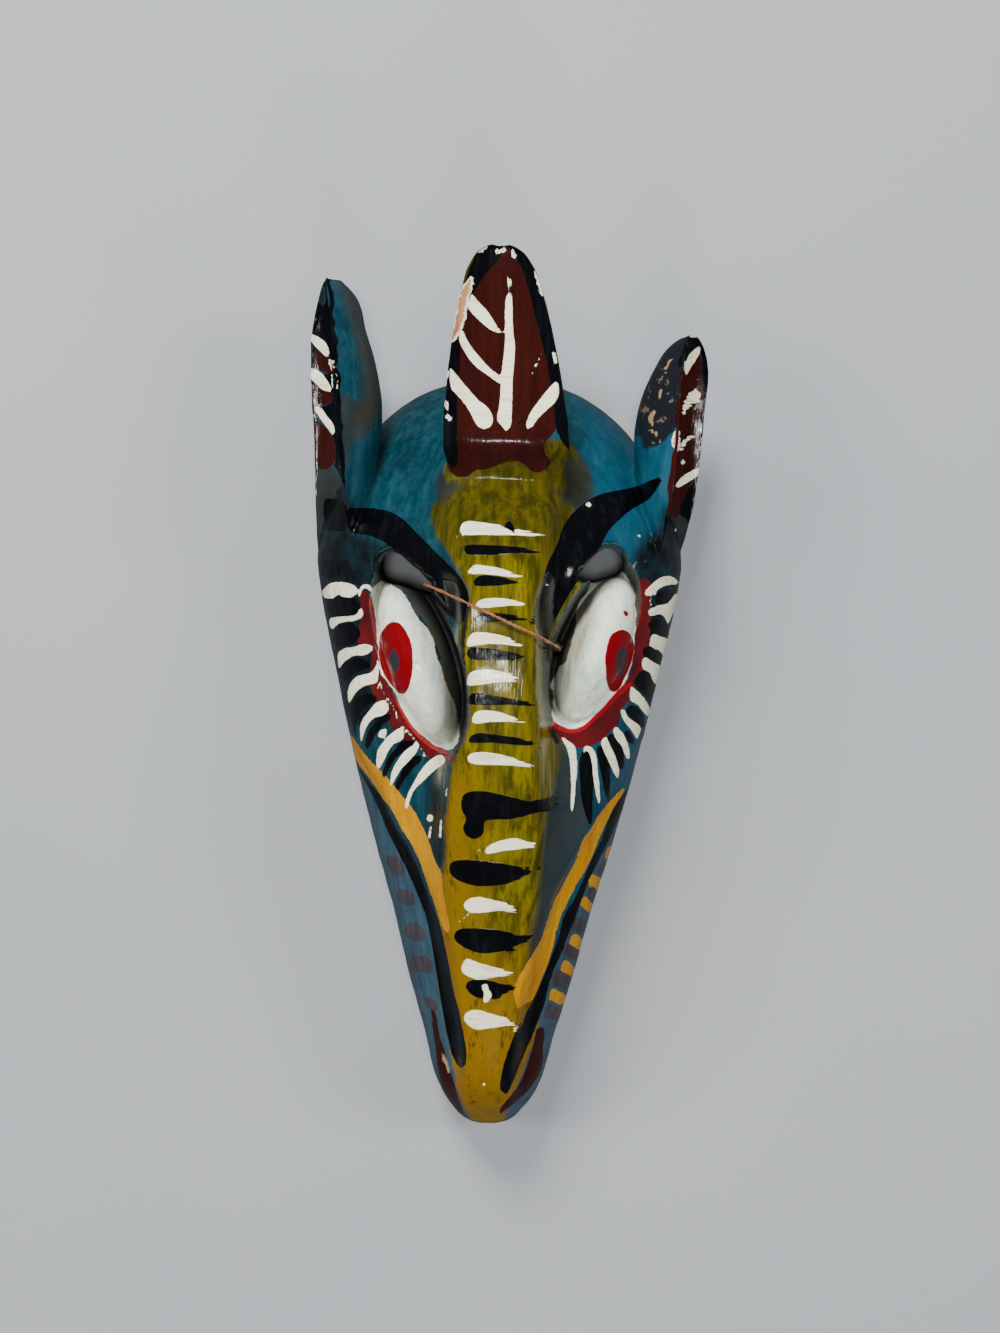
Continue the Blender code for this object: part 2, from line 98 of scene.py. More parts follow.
# An eye: length, width, centre (x, y) and tilt in degrees
LEFT_EYE = (76.0, 29.0, -33.5, 193.5, 20.0)
RIGHT_EYE = (67.0, 28.0, 39.0, 199.5, 20.0)
EYE_FLOOR = 50.0
EYE_RISE = 27.0
SOCKET_MARGIN = 1.4
SOCKET_SHIFT = 1.5
BROW_RISE = 7.0
BROW_WIDTH = 14.0
BROW_START = 0.45
# How deep the eyeball's root and foot lie under the socket's floor, and the socket's wall: the share of
# its plan, and the height over its floor
EYE_ROOT = 3.0
EYE_FOOT = 9.0
SOCKET_LEVELS = ((0.5, -4.0), (0.70, -3.0), (0.86, 0.0), (0.93, 5.0), (0.98, 12.0))
SOCKET_FLARE = 1.03
LEFT_SLOT = ((-44.5, 231.0, 5.6), (-30.0, 223.5, 1.6))
RIGHT_SLOT = ((43.5, 235.0, 5.6), (33.0, 229.0, 1.8))

# The horn and the ears; their stations give the share of the length, and then the horn's width, thickness
# and rim height, or an ear's back rim, front rim (each x and z) and bulge
HORN_LENGTH = 98.0
HORN_WIDTH = 50.0
HORN_THICKNESS = 24.0
HORN_SCOOP = 7.0
HORN_FOOT_BULGE = 5.0
HORN_FOOT = 262.5
HORN_MIDDLE = 1.5
HORN_LEAN = -0.05
SCOOP_RUN = (0.20, 0.36)
BULGE_MIDDLE = 0.15
BULGE_REACH = 0.10
FOOT_HALF_WIDTH = 26.0
FOOT_REACH = 9.0
FOOT_SHIFT = 3.0
FOOT_HEIGHT = 0.6 * FACE_DEPTH
FOOT_ROUNDS = 6
LEFT_EAR_LENGTH = 114.0
RIGHT_EAR_LENGTH = 94.0
EAR_FOOT = 0.775 * HEAD_LENGTH
EAR_SPREAD = 162.0
EAR_THICKNESS = 9.0
LEAST_EAR_HOLLOW = 0.2
HORN_ROW_POWER = 0.85
EAR_ROW_POWER = 0.9
BACK_POWER = 0.9
HOLLOW_POWER = 1.2
LEFT_EAR = ((0.0, -1.5, 24, -20, 58, 6), (0.21, 0.5, 28, -15.5, 71, 18.5), (0.46, 2, 32, -11.5, 73, 26),
            (0.64, 3, 36, -9.6, 70, 26), (0.82, 2, 41, -8, 64, 20.5), (0.95, -2, 46, -6, 57, 14),
            (1.0, -5, 50, -5.5, 53, 6))
RIGHT_EAR = ((0.0, -6, 24, -17, 58, 6), (0.24, 1, 28, -12.6, 70, 19), (0.50, 4, 32, -10, 70, 25),
             (0.71, 5, 36, -8.8, 65, 24.3), (0.86, 5, 40, -7.4, 60, 19.6), (0.95, 2, 44, -6.5, 55, 13.4),
             (1.0, -2, 48, -5, 51, 6))
HORN = ((0.0, 0.90, 1.0, 74), (0.08, 0.97, 1.0, 77.5), (0.19, 1.0, 1.0, 82.5), (0.40, 0.93, 0.9, 82),
        (0.61, 0.81, 0.75, 79), (0.81, 0.64, 0.6, 77), (0.91, 0.50, 0.5, 76), (0.975, 0.29, 0.35, 75),
        (1.0, 0.10, 0.2, 74))

# The tie wire
WIRE_DIAMETER = 1.3
WIRE_HOLE_DIAMETER = 4.0
WIRE_HOLE = (23.5, 199.5)
WIRE_ROUTE = ((-7, 214.0, 35), (-19, 219.8, 34.5), (-27.5, 223.2, 34.8), (-30.8, 224.2, 41),
              (-31, 224.3, 55), (-30.8, 224.2, 72), (-27.5, 222.6, 83.5), (-19.5, 218.9, 92.8),
              (-14.5, 216.6, 98.5), (-9, 214.1, 98.9), (0, 210.1, 98.3), (8, 206.5, 97.9),
              (12.5, 204.6, 96.9), (17, 202.7, 90.5), (20.5, 201.1, 84.5), (22.8, 200.0, 77.5),
              (23.5, 199.5, 70), (23.5, 199.5, 46), (23, 199.7, 39.5), (20, 201.0, 35),
              (13, 204.4, 34.5), (3, 209.5, 34.5))
WIRE_STEP = 3.5
# The wire's two strands: a close twist over the bridge of the nose, a loose one elsewhere
STRAND_STEP = 0.3
LOOSE_PITCH = 20.0
TWIST_START = -8.0
TWIST_END = 15.5

# The hollow: how far it stays inside the outline, in walls, and its least height; and how far cutters run
CAVITY_START = 1.6
CAVITY_SIDE = 0.9
LEAST_HOLLOW = 4.0
WALL_RINGS = (0.35, 0.7, 1.0)
WALL_TURNS = 12
SOCKET_CLEAR = (0.9, 3.2)
CUT_FLOOR = -10.0
CUT_TOP = 1.5 * FACE_DEPTH

# Mesh steps, and metres within which points are one
HEAD_ROWS = 300
HEAD_COLUMNS = 176
CAVITY_ROWS = 90
CAVITY_COLUMNS = 60
LEAF_ROWS = 84
LEAF_STEPS = 36
EYE_STEPS = 96
EYE_LEVELS = 24
SLOT_STEPS = 16
HOLE_STEPS = 24
END_ROUNDINGS = (0.05, 0.06)
END_CROWDS = (3.0, 2.5)
SIDE_CROWD = 0.75
SAME_POINT = 0.00001
CLOSE_POINTS = 0.00008
SLIVER = 0.00003
SHARP_ANGLE = 32.0

# The painter's eye: paint is laid out in millimetres on a plane this high, seen from above it
EYE_POINT = (0.0, 192.0, 670.0)
PAINT_PLANE = 80.0
CAMERA_LENS = 54.0
CAMERA_ROLL = 1.2

# Light: name, place from the mask's middle, size, power, and whether it shows in the gloss
LIGHTS = (
    ("key", (-0.35, 1.15, 1.05), 0.55, 32.0, False),
    ("top", (-0.03, -0.16, 1.75), 0.20, 9.0, True),
    ("left", (-1.25, 0.1, 0.95), 0.6, 12.0, False),
    ("right", (1.25, 0.25, 1.0), 0.5, 12.0, False),
    ("low", (0.15, -1.3, 0.8), 0.5, 8.0, False))
LIT_HEIGHT = 0.05
SKY = (0.80, 0.86, 0.95, 1.0)
SKY_STRENGTH = 0.10
FLOOR_SIZE = 8.0


def along(profile, share, column=1):
    """A smooth curve through a profile's stations."""
    stations = np.array([row[0] for row in profile], float)
    values = np.array([row[column] for row in profile], float)
    slopes = np.gradient(values, stations)
    share = np.clip(share, stations[0], stations[-1])
    i = np.clip(np.searchsorted(stations, share, side="right") - 1, 0, len(stations) - 2)
    gap = stations[i + 1] - stations[i]
    t = (share - stations[i]) / gap
    return ((2 * t**3 - 3 * t**2 + 1) * values[i] + (t**3 - 2 * t**2 + t) * gap * slopes[i]
            + (3 * t**2 - 2 * t**3) * values[i + 1] + (t**3 - t**2) * gap * slopes[i + 1])


def ease(low, high, value):
    t = np.clip((value - low) / (high - low), 0.0, 1.0)
    return t * t * (3 - 2 * t)


def end_fall(y):
    """0 along the head's length, and up to 1 at its two round ends."""
    tip = np.clip((TIP_ROUNDING - (y + NOSE_REACH) / HEAD_LENGTH) / TIP_ROUNDING, 0.0, 1.0)
    top = np.clip(((y - CROWN_REACH) / HEAD_LENGTH - 1 + TOP_ROUNDING) / TOP_ROUNDING, 0.0, 1.0)
    return np.maximum(tip**PLAN_POWER, top**TOP_POWER)


def half_plan(y):
    return HEAD_WIDTH / 2 * along(PLAN, y / HEAD_LENGTH)


def outline(y):
    return half_plan(y) * (1 - end_fall(y)) ** (1 / PLAN_POWER)


def socket_share(x, y, eye, margin):
    """Distance from an eye's centre, as a share of the almond that the margin puts round it."""
    length, width, cx, cy, tilt = eye
    lean = math.radians(tilt) * math.copysign(1, cx)
    dx = x - cx
    dy = y - cy
    up = dx * math.sin(lean) + dy * math.cos(lean)
    out = dx * math.cos(lean) - dy * math.sin(lean)
    return np.hypot(up / (length / 2 + margin), out / (width / 2 + margin)), up


def face_height(x, y):
    """Height of the carved face over the back rim."""
    x = np.asarray(x, float)
    y = np.asarray(y, float)
    share = y / HEAD_LENGTH
    reach = np.abs(x - HEAD_LEAN)
    spread = (reach / half_plan(y)) ** PLAN_POWER + end_fall(y)
    dome = np.clip(1 - spread, 0.0, 1.0) ** (1 / DOME_POWER)
    cheek = FACE_DEPTH * along(CHEEK, share)
    crest = FACE_DEPTH * along(CREST, share)
    height = cheek * dome
    mouth = HEAD_WIDTH / 2 * along(MOUTH, share)
    open_share = ease(MOUTH_START, MOUTH_START + MOUTH_RUN_IN, share)
    open_share = open_share * (1 - ease(MOUTH_END - MOUTH_RUN_IN, MOUTH_END, share))
    beyond = reach - mouth
    height -= open_share * LIP_STEP * ease(-MOUTH_LEAD, MOUTH_GROOVE_WIDTH, beyond) * dome
    height -= open_share * MOUTH_GROOVE * np.exp(-(beyond / MOUTH_GROOVE_WIDTH * 2) ** 2)
    ridge_half = HEAD_WIDTH / 2 * along(RIDGE, share)
    ridge = (crest - RIDGE_FALL * (reach / ridge_half) ** 2 * ridge_half) * dome
    flank = ease(*RIDGE_FLANK, reach / ridge_half)
    height = height * flank + ridge * (1 - flank)
    for eye in (LEFT_EYE, RIGHT_EYE):
        socket, up = socket_share(x, y, eye, SOCKET_MARGIN + BROW_WIDTH / 2)
        brow = np.exp(-((socket - 1.0) * eye[1] / BROW_WIDTH) ** 2) * ease(0.0, BROW_START * eye[0], up)
        height = height + BROW_RISE * brow * dome
    return np.maximum(height, 0.0)


def cavity_height(x, y):
    """The face moved inwards by the wall, and kept that far below the eye sockets too."""
    lowest = face_height(x, y) - WALL
    for ring in WALL_RINGS:
        drop = WALL * math.sqrt(1 - ring**2)
        for step in range(WALL_TURNS):
            turn = 2 * math.pi * step / WALL_TURNS
            px = x + WALL * ring * math.cos(turn)
            py = y + WALL * ring * math.sin(turn)
            inside = (np.abs(px - HEAD_LEAN) < outline(py)) & (py > -NOSE_REACH) & (py < CROWN)
            lowest = np.minimum(lowest, np.where(inside, face_height(px, py), 0.0) - drop)
    for eye in (LEFT_EYE, RIGHT_EYE):
        share, _ = socket_share(x, y, eye, SOCKET_MARGIN + WALL)
        lowest = np.minimum(lowest, EYE_FLOOR - WALL + FACE_DEPTH * ease(*SOCKET_CLEAR, share))
    return np.minimum(lowest, HOLLOW_DEPTH)


def ear_reach(stations):
    """How far an ear stands out from the middle plane of the mask."""
    shares = np.linspace(0.0, 1.0, 60)
    return EAR_SPREAD / 2 + float(np.max(along(stations, shares)))


# Where the snout tip and the middle plane lie in the frame
MASK_LOW, MASK_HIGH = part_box("mask")
TIP_Y = MASK_LOW.y + NOSE_REACH * MM
MIDDLE_X = MASK_LOW.x + ear_reach(LEFT_EAR) * MM


def in_frame(points):
    """Millimetres from the snout tip to metres in the frame."""
    return np.asarray(points, float) * MM + np.array([MIDDLE_X, TIP_Y, 0.0])


def new_object(name, points, faces):
    mesh = bpy.data.meshes.new(name)
    mesh.from_pydata([tuple(p) for p in in_frame(points)], [], faces)
    work = bmesh.new()
    work.from_mesh(mesh)
    bmesh.ops.remove_doubles(work, verts=work.verts, dist=SAME_POINT)
    bmesh.ops.recalc_face_normals(work, faces=work.faces)
    work.to_mesh(mesh)
    work.free()
    obj = bpy.data.objects.new(name, mesh)
    bpy.context.scene.collection.objects.link(obj)
    return obj


def spread_steps(count, rounding_low, rounding_high):
    """Shares from 0 to 1, closer together in the two round ends."""
    t = np.linspace(0.0, 1.0, count)
    even = np.linspace(0.0, 1.0, 400)
    low, high = END_CROWDS
    weight = 1 + low * np.exp(-even / rounding_low) + high * np.exp(-(1 - even) / rounding_high)
    total = np.concatenate([[0.0], np.cumsum((weight[1:] + weight[:-1]) / 2)])
    return np.interp(t * total[-1], total, even)


def dome_points(rows, columns, half_width, height, start, end, crowding=1.0):
    """Rows of points over a domed form, closer together near its two sides."""
    shares = spread_steps(rows + 1, *END_ROUNDINGS)[1:-1]
    t = np.linspace(-1.0, 1.0, columns + 1)
    turns = np.sin(t * math.pi / 2) * crowding + t * (1 - crowding)
    points = []
    for share in shares:
        y = start + share * (end - start)
        x = half_width(y) * turns + HEAD_LEAN
        z = height(x, np.full_like(x, y))
        points.append(np.column_stack([x, np.full_like(x, y), z]))
    return points


def dome_solid(name, rows, start, end, floor):
    """Closes rows of points with a fan at each end and a flat underside at the floor height."""
    count = len(rows)
    columns = len(rows[0])
    for row in rows:
        row[0][2] = floor
        row[-1][2] = floor
    flat = [tuple(point) for row in rows for point in row]
    left = len(flat)
    for row in rows:
        flat.append((row[0][0], row[0][1], floor))
        flat.append((row[-1][0], row[-1][1], floor))
    low = len(flat)
    flat.append((HEAD_LEAN, start, floor))
    high = len(flat)
    flat.append((HEAD_LEAN, end, floor))
    faces = []
    for r in range(count - 1):
        for c in range(columns - 1):
            a = r * columns + c
            faces.append((a, a + 1, a + 1 + columns, a + columns))
        a = left + 2 * r
        faces.append((a, a + 2, a + 3, a + 1))
        faces.append((r * columns, (r + 1) * columns, a + 2, a))
        faces.append((r * columns + columns - 1, a + 1, a + 3, (r + 1) * columns + columns - 1))
    for r, pole in ((0, low), (count - 1, high)):
        for c in range(columns - 1):
            faces.append((r * columns + c, r * columns + c + 1, pole))
        a = left + 2 * r
        faces.append((a, a + 1, pole))
        faces.append((a, r * columns, pole))
        faces.append((a + 1, r * columns + columns - 1, pole))
    return new_object(name, flat, faces)


def crescent(back, front, bulge, hollow):
    """A leaf's section between two rims, in x and z: a bulging back, and a front hollowed that deep."""
    back = np.array(back, float)
    front = np.array(front, float)
    chord = front - back
    outward = np.array([chord[1], -chord[0]]) / np.hypot(*chord)
    ring = []
    for step in range(2 * LEAF_STEPS):
        going = step < LEAF_STEPS
        turn = math.pi * (step / LEAF_STEPS if going else 2 - step / LEAF_STEPS)
        place = back + chord * (1 - math.cos(turn)) / 2
        depth = bulge if going else hollow
        ring.append(place + outward * depth * math.sin(turn) ** (BACK_POWER if going else HOLLOW_POWER))
    return ring


def leaf_solid(name, sections):
    """Joins closed sections in order and closes both ends."""
    count = len(sections[0])
    points = [point for section in sections for point in section]
    faces = [tuple(range(count)), tuple((len(sections) - 1) * count + i for i in reversed(range(count)))]
    for r in range(len(sections) - 1):
        for i in range(count):
            a = r * count
            b = a + count
            j = (i + 1) % count
            faces.append((a + i, a + j, b + j, b + i))
    return new_object(name, points, faces)


def ear_section(stations, share):
    """An ear's back rim, front rim, bulge and hollow at a share of its length, on the left side."""
    values = [float(along(stations, share, column)) for column in range(1, 6)]
    back = (-(EAR_SPREAD / 2 + values[0]), values[1])
    front = (-(EAR_SPREAD / 2 + values[2]), values[3])
    return back, front, values[4], max(values[4] - EAR_THICKNESS, LEAST_EAR_HOLLOW * values[4])


def ear_form(name, stations, side, length):
    sections = []
    for share in np.linspace(0.0, 1.0, LEAF_ROWS) ** EAR_ROW_POWER:
        ring = crescent(*ear_section(stations, share))
        sections.append([(float(-side * x), EAR_FOOT + share * length, float(z)) for x, z in ring])
    return leaf_solid(name, sections)


def horn_centre(y):
    return HORN_MIDDLE + HORN_LEAN * (y - HORN_FOOT)


def horn_form():
    sections = []
    for share in np.linspace(0.0, 1.0, LEAF_ROWS) ** HORN_ROW_POWER:
        half = HORN_WIDTH / 2 * float(along(HORN, share))
        thick = HORN_THICKNESS * float(along(HORN, share, 2))
        rim = float(along(HORN, share, 3))
        y = HORN_FOOT + share * HORN_LENGTH
        scoop = HORN_SCOOP * ease(*SCOOP_RUN, share) * half / (HORN_WIDTH / 2)
        scoop -= HORN_FOOT_BULGE * math.exp(-((share - BULGE_MIDDLE) / BULGE_REACH) ** 2)
        ring = crescent((horn_centre(y) - half, rim), (horn_centre(y) + half, rim), thick, scoop)
        sections.append([(float(x), y, float(z)) for x, z in ring])
    return leaf_solid("horn_form", sections)


def prism(name, corners):
    """A cutter that runs upright through the face."""
    points = [(x, y, z) for z in (CUT_FLOOR, CUT_TOP) for x, y in corners]
    count = len(corners)
    faces = [tuple(range(count)), tuple(range(2 * count - 1, count - 1, -1))]
    for i in range(count):
        j = (i + 1) % count
        faces.append((i, j, j + count, i + count))
    return new_object(name, points, faces)


def eye_slot(name, ends):
    """The see-through slot under the brow: wide at its outer end and narrow at the nose."""
    (wide_x, wide_y, wide), (narrow_x, narrow_y, narrow) = ends
    heading = math.atan2(narrow_y - wide_y, narrow_x - wide_x)
    corners = []
    for centre_x, centre_y, radius, first in ((wide_x, wide_y, wide, heading + math.pi / 2),
                                              (narrow_x, narrow_y, narrow, heading - math.pi / 2)):
        for step in range(SLOT_STEPS + 1):
            turn = first + math.pi * step / SLOT_STEPS
            corners.append((centre_x + radius * math.cos(turn), centre_y + radius * math.sin(turn)))
    return prism(name, corners)


def almond_rings(eye, margin, shift, levels):
    """Rings round an eye's long axis at several levels, each (share of the plan, height)."""
    length, width, cx, cy, tilt = eye
    side = math.copysign(1, cx)
    lean = math.radians(tilt) * side
    rings = []
    for share, z in levels:
        ring = []
        for step in range(EYE_STEPS):
            turn = 2 * math.pi * step / EYE_STEPS
            out = (width / 2 + margin) * share * math.cos(turn) - shift * side
            up = (length / 2 + margin) * share * math.sin(turn) + shift
            ring.append((cx + out * math.cos(lean) + up * math.sin(lean),
                         cy - out * math.sin(lean) + up * math.cos(lean), z))
        rings.append(ring)
    return rings


def socket_form(name, eye):
    """The bowl that is cut round an eyeball, steep beside the nose and under the brow."""
    levels = [(share, EYE_FLOOR + rise) for share, rise in SOCKET_LEVELS]
    levels += [(1.0, FACE_DEPTH * 0.8), (SOCKET_FLARE, FACE_DEPTH * 1.4)]
    return leaf_solid(name, almond_rings(eye, SOCKET_MARGIN, SOCKET_SHIFT, levels))


def eyeball_form(name, eye):
    """A bulging almond eyeball that stands on the socket's floor."""
    levels = [(0.9, EYE_FLOOR - EYE_FOOT), (1.0, EYE_FLOOR - EYE_ROOT)]
    for step in range(1, EYE_LEVELS):
        turn = math.pi / 2 * step / EYE_LEVELS
        levels.append((math.cos(turn), EYE_FLOOR - EYE_ROOT + (EYE_RISE + EYE_ROOT) * math.sin(turn)))
    return leaf_solid(name, almond_rings(eye, 0.0, 0.0, levels))


def cavity_form():
    """The hollow behind the face, open at the back rim."""
    start = CAVITY_START * WALL - NOSE_REACH
    end = CROWN - WALL

    def half_width(y):
        return np.maximum(outline(y) - CAVITY_SIDE * WALL, 1.0)

    def height(x, y):
        return np.maximum(cavity_height(x, y), LEAST_HOLLOW)

    rows = dome_points(CAVITY_ROWS, CAVITY_COLUMNS, half_width, height, start, end)
    return dome_solid("cavity_form", rows, start - 1, end + 1, CUT_FLOOR)


def head_form():
    rows = dome_points(HEAD_ROWS, HEAD_COLUMNS, outline, face_height, -NOSE_REACH, CROWN, SIDE_CROWD)
    return dome_solid("head_form", rows, -NOSE_REACH, CROWN, 0.0)


def carve(head, steps):
    """Joins and cuts the forms in order and returns one plain mesh."""
    for operation, other in steps:
        modifier = head.modifiers.new(other.name, "BOOLEAN")
        modifier.operation = operation
        modifier.object = other
        modifier.solver = "MANIFOLD"
    graph = bpy.context.evaluated_depsgraph_get()
    mesh = bpy.data.meshes.new_from_object(head.evaluated_get(graph))
    for _, other in steps:
        bpy.data.objects.remove(other)
    bpy.data.objects.remove(head)
    return mesh


def soften_edges(mesh, angle, rounds):
    """Rounds the sharp edges that the cuts leave, as a knife and thick paint do."""
    work = bmesh.new()
    work.from_mesh(mesh)
    bmesh.ops.remove_doubles(work, verts=work.verts, dist=CLOSE_POINTS)
    bmesh.ops.dissolve_degenerate(work, dist=SLIVER, edges=work.edges)
    bmesh.ops.triangulate(work, faces=work.faces)
    near = set()
    for edge in work.edges:
        if len(edge.link_faces) == 2 and edge.calc_face_angle(0.0) > angle:
            near.update(edge.verts)
    for _ in range(2):
        near.update([edge.other_vert(v) for v in list(near) for edge in v.link_edges])
    for _ in range(rounds):
        bmesh.ops.smooth_vert(work, verts=list(near), factor=0.5, use_axis_x=True, use_axis_y=True,
                              use_axis_z=True)
    work.normal_update()
    work.to_mesh(mesh)
    work.free()


def blend_foot(mesh, rounds):
    """Runs the foot of the horn out into the forehead, without a line."""
    work = bmesh.new()
    work.from_mesh(mesh)
    near = []
    for vert in work.verts:
        x = (vert.co.x - MIDDLE_X) / MM
        y = (vert.co.y - TIP_Y) / MM - HORN_FOOT - FOOT_SHIFT
        if abs(x) < FOOT_HALF_WIDTH and abs(y) < FOOT_REACH and vert.co.z > FOOT_HEIGHT * MM:
            near.append(vert)
    for _ in range(rounds):
        bmesh.ops.smooth_vert(work, verts=near, factor=0.5, use_axis_x=True, use_axis_y=True, use_axis_z=True)
    work.normal_update()
    work.to_mesh(mesh)
    work.free()


def vertex_arrays(mesh):
    """Places in millimetres from the snout tip, and normals."""
    count = len(mesh.vertices)
    places = np.empty(count * 3)
    normals = np.empty(count * 3)
    mesh.vertices.foreach_get("co", places)
    mesh.vertices.foreach_get("normal", normals)
    places = (places.reshape(-1, 3) - np.array([MIDDLE_X, TIP_Y, 0.0])) / MM
    return places, normals.reshape(-1, 3)


def knife_marks(mesh, size, depth):
    """Shallow facets that a knife leaves, cut inwards only."""
    places, normals = vertex_arrays(mesh)
    marks = np.empty(len(places))
    for i, place in enumerate(places):
        cell = noise.voronoi(Vector(place) / size)[0]
        marks[i] = min(cell[0], 1.0)
    flat = ease(0.3, 1.5, places[:, 2])
    places -= normals * (depth * marks * flat)[:, None]
    mesh.vertices.foreach_set("co", in_frame(places).ravel())


def keep_in_box(mesh):
    """No point leaves the box of the carved block."""
    count = len(mesh.vertices)
    places = np.empty(count * 3)
    mesh.vertices.foreach_get("co", places)
    places = np.clip(places.reshape(-1, 3), np.array(MASK_LOW), np.array(MASK_HIGH))
    mesh.vertices.foreach_set("co", places.ravel())
    mesh.update()


# Paint: distances in millimetres, negative inside a painted shape
FAR = 50.0
STROKE_MARGIN = 15.0
PATCH_MARGIN = 25.0


def smooth_line(points, closed=False, parts=5):
    """More points on a smooth curve through the given ones; extra columns are carried along."""
    p = np.array(points, float)
    count = len(p)
    out = []
    for i in range(count if closed else count - 1):
        if closed:
            a, b, c, d = (p[(i + k - 1) % count] for k in range(4))
        else:
            a, b, c, d = p[max(i - 1, 0)], p[i], p[i + 1], p[min(i + 2, count - 1)]
        for step in range(parts):
            t = step / parts
            out.append(0.5 * (2 * b + (c - a) * t + (2 * a - 5 * b + 4 * c - d) * t**2
                              + (3 * b - a - 3 * c + d) * t**3))
    if not closed:
        out.append(p[-1])
    return np.array(out)


class Painter:
    """Lays strokes and patches on points of the picture; the fields that it fills are in millimetres."""

    def __init__(self, x, y):
        self.x = x
        self.y = y

    def nearby(self, points, margin):
        low = points[:, :2].min(axis=0) - margin
        high = points[:, :2].max(axis=0) + margin
        return np.flatnonzero((self.x > low[0]) & (self.x < high[0]) & (self.y > low[1]) & (self.y < high[1]))

    def stroke(self, field, points, parts=5):
        """A brush stroke through (x, y, width) points, joined to the field."""
        line = smooth_line(points, parts=parts)
        margin = STROKE_MARGIN + line[:, 2].max() / 2
        near = self.nearby(line, margin)
        x = self.x[near]
        y = self.y[near]
        best = np.full(len(near), FAR * PICTURE_SCALE)
        for a, b in zip(line[:-1], line[1:]):
            dx, dy = b[0] - a[0], b[1] - a[1]
            t = np.clip(((x - a[0]) * dx + (y - a[1]) * dy) / max(dx * dx + dy * dy, 1e-9), 0.0, 1.0)
            gap = np.hypot(x - a[0] - t * dx, y - a[1] - t * dy) - (a[2] + t * (b[2] - a[2])) / 2
            best = np.minimum(best, gap)
        field[near] = np.minimum(field[near], best / PICTURE_SCALE)

    def patch(self, points, parts=4):
        """Distance to the edge of a closed patch, negative inside."""
        line = smooth_line(points, closed=True, parts=parts)
        near = self.nearby(line, PATCH_MARGIN)
        x = self.x[near]
        y = self.y[near]
        best = np.full(len(near), FAR * PICTURE_SCALE)
        inside = np.zeros(len(near), bool)
        for a, b in zip(line, np.roll(line, -1, axis=0)):
            dx, dy = b[0] - a[0], b[1] - a[1]
            t = np.clip(((x - a[0]) * dx + (y - a[1]) * dy) / max(dx * dx + dy * dy, 1e-9), 0.0, 1.0)
            best = np.minimum(best, np.hypot(x - a[0] - t * dx, y - a[1] - t * dy))
            if abs(dy) > 1e-9:
                crosses = ((a[1] > y) != (b[1] > y)) & (x < a[0] + (y - a[1]) * dx / dy)
                inside ^= crosses
        field = np.full(len(self.x), FAR)
        field[near] = np.where(inside, -best, best) / PICTURE_SCALE
        return field


# Painted shapes, as points of the photograph, in its pixels
PICTURE_SCALE = 2.542
PICTURE_MIDDLE = (500.0, 666.5)
# Lines of the picture: the right ear's worn edge, where the mustard and the olive of the horn end, and
# where the temples and the left ear begin
WORN_EDGE = 676
WORN_RUNS = ((380.0, 400.0), (470.0, 430.0))
MUSTARD_TOP = 430
OLIVE_TO = 370
OLIVE_LEFT_OF = 480
TEMPLE_TOP = 480
LEFT_EAR_RIM = 400
# Bars over the bridge of the nose, from the forehead down; each tapers to the right
WHITE_BARS = (
    ((460, 531), (463, 523), (470, 521), (485, 523), (500, 525), (512, 527), (522, 530), (535, 533),
     (548, 538), (535, 537), (520, 535), (500, 535), (480, 535), (465, 535)),
    ((467, 574), (474, 565), (486, 566), (499, 568), (510, 571), (522, 578), (510, 577), (495, 575),
     (480, 574)),
    ((475, 607), (480, 600), (495, 598), (510, 599), (520, 601), (526, 608), (510, 606), (495, 607),
     (480, 608)),
    ((467, 646), (470, 635), (480, 632), (495, 634), (507, 637), (514, 641), (522, 646), (510, 645),
     (495, 644), (480, 645)),
    ((467, 685), (469, 674), (478, 670), (492, 670), (504, 672), (512, 675), (524, 680), (510, 682),
     (492, 683), (476, 685)),
    ((473, 723), (475, 713), (484, 710), (499, 712), (511, 716), (528, 723), (511, 722), (490, 722)),
    ((467, 760), (470, 754), (480, 752), (492, 753), (506, 756), (520, 760), (533, 767), (515, 766),
     (495, 765), (475, 764)),
    ((485, 852), (488, 846), (499, 841), (516, 838), (529, 841), (536, 845), (534, 848), (521, 849),
     (504, 851), (489, 854)),
    ((464, 905), (469, 899), (479, 897), (494, 900), (509, 904), (519, 913), (511, 912), (499, 911),
     (479, 913), (468, 911)),
    ((461, 970), (464, 961), (469, 959), (479, 963), (499, 968), (514, 973), (510, 975), (496, 977),
     (479, 980), (466, 975)),
    ((464, 1018), (468, 1012), (477, 1010), (492, 1014), (509, 1019), (519, 1027), (509, 1026), (494, 1028),
     (479, 1030), (470, 1027)))
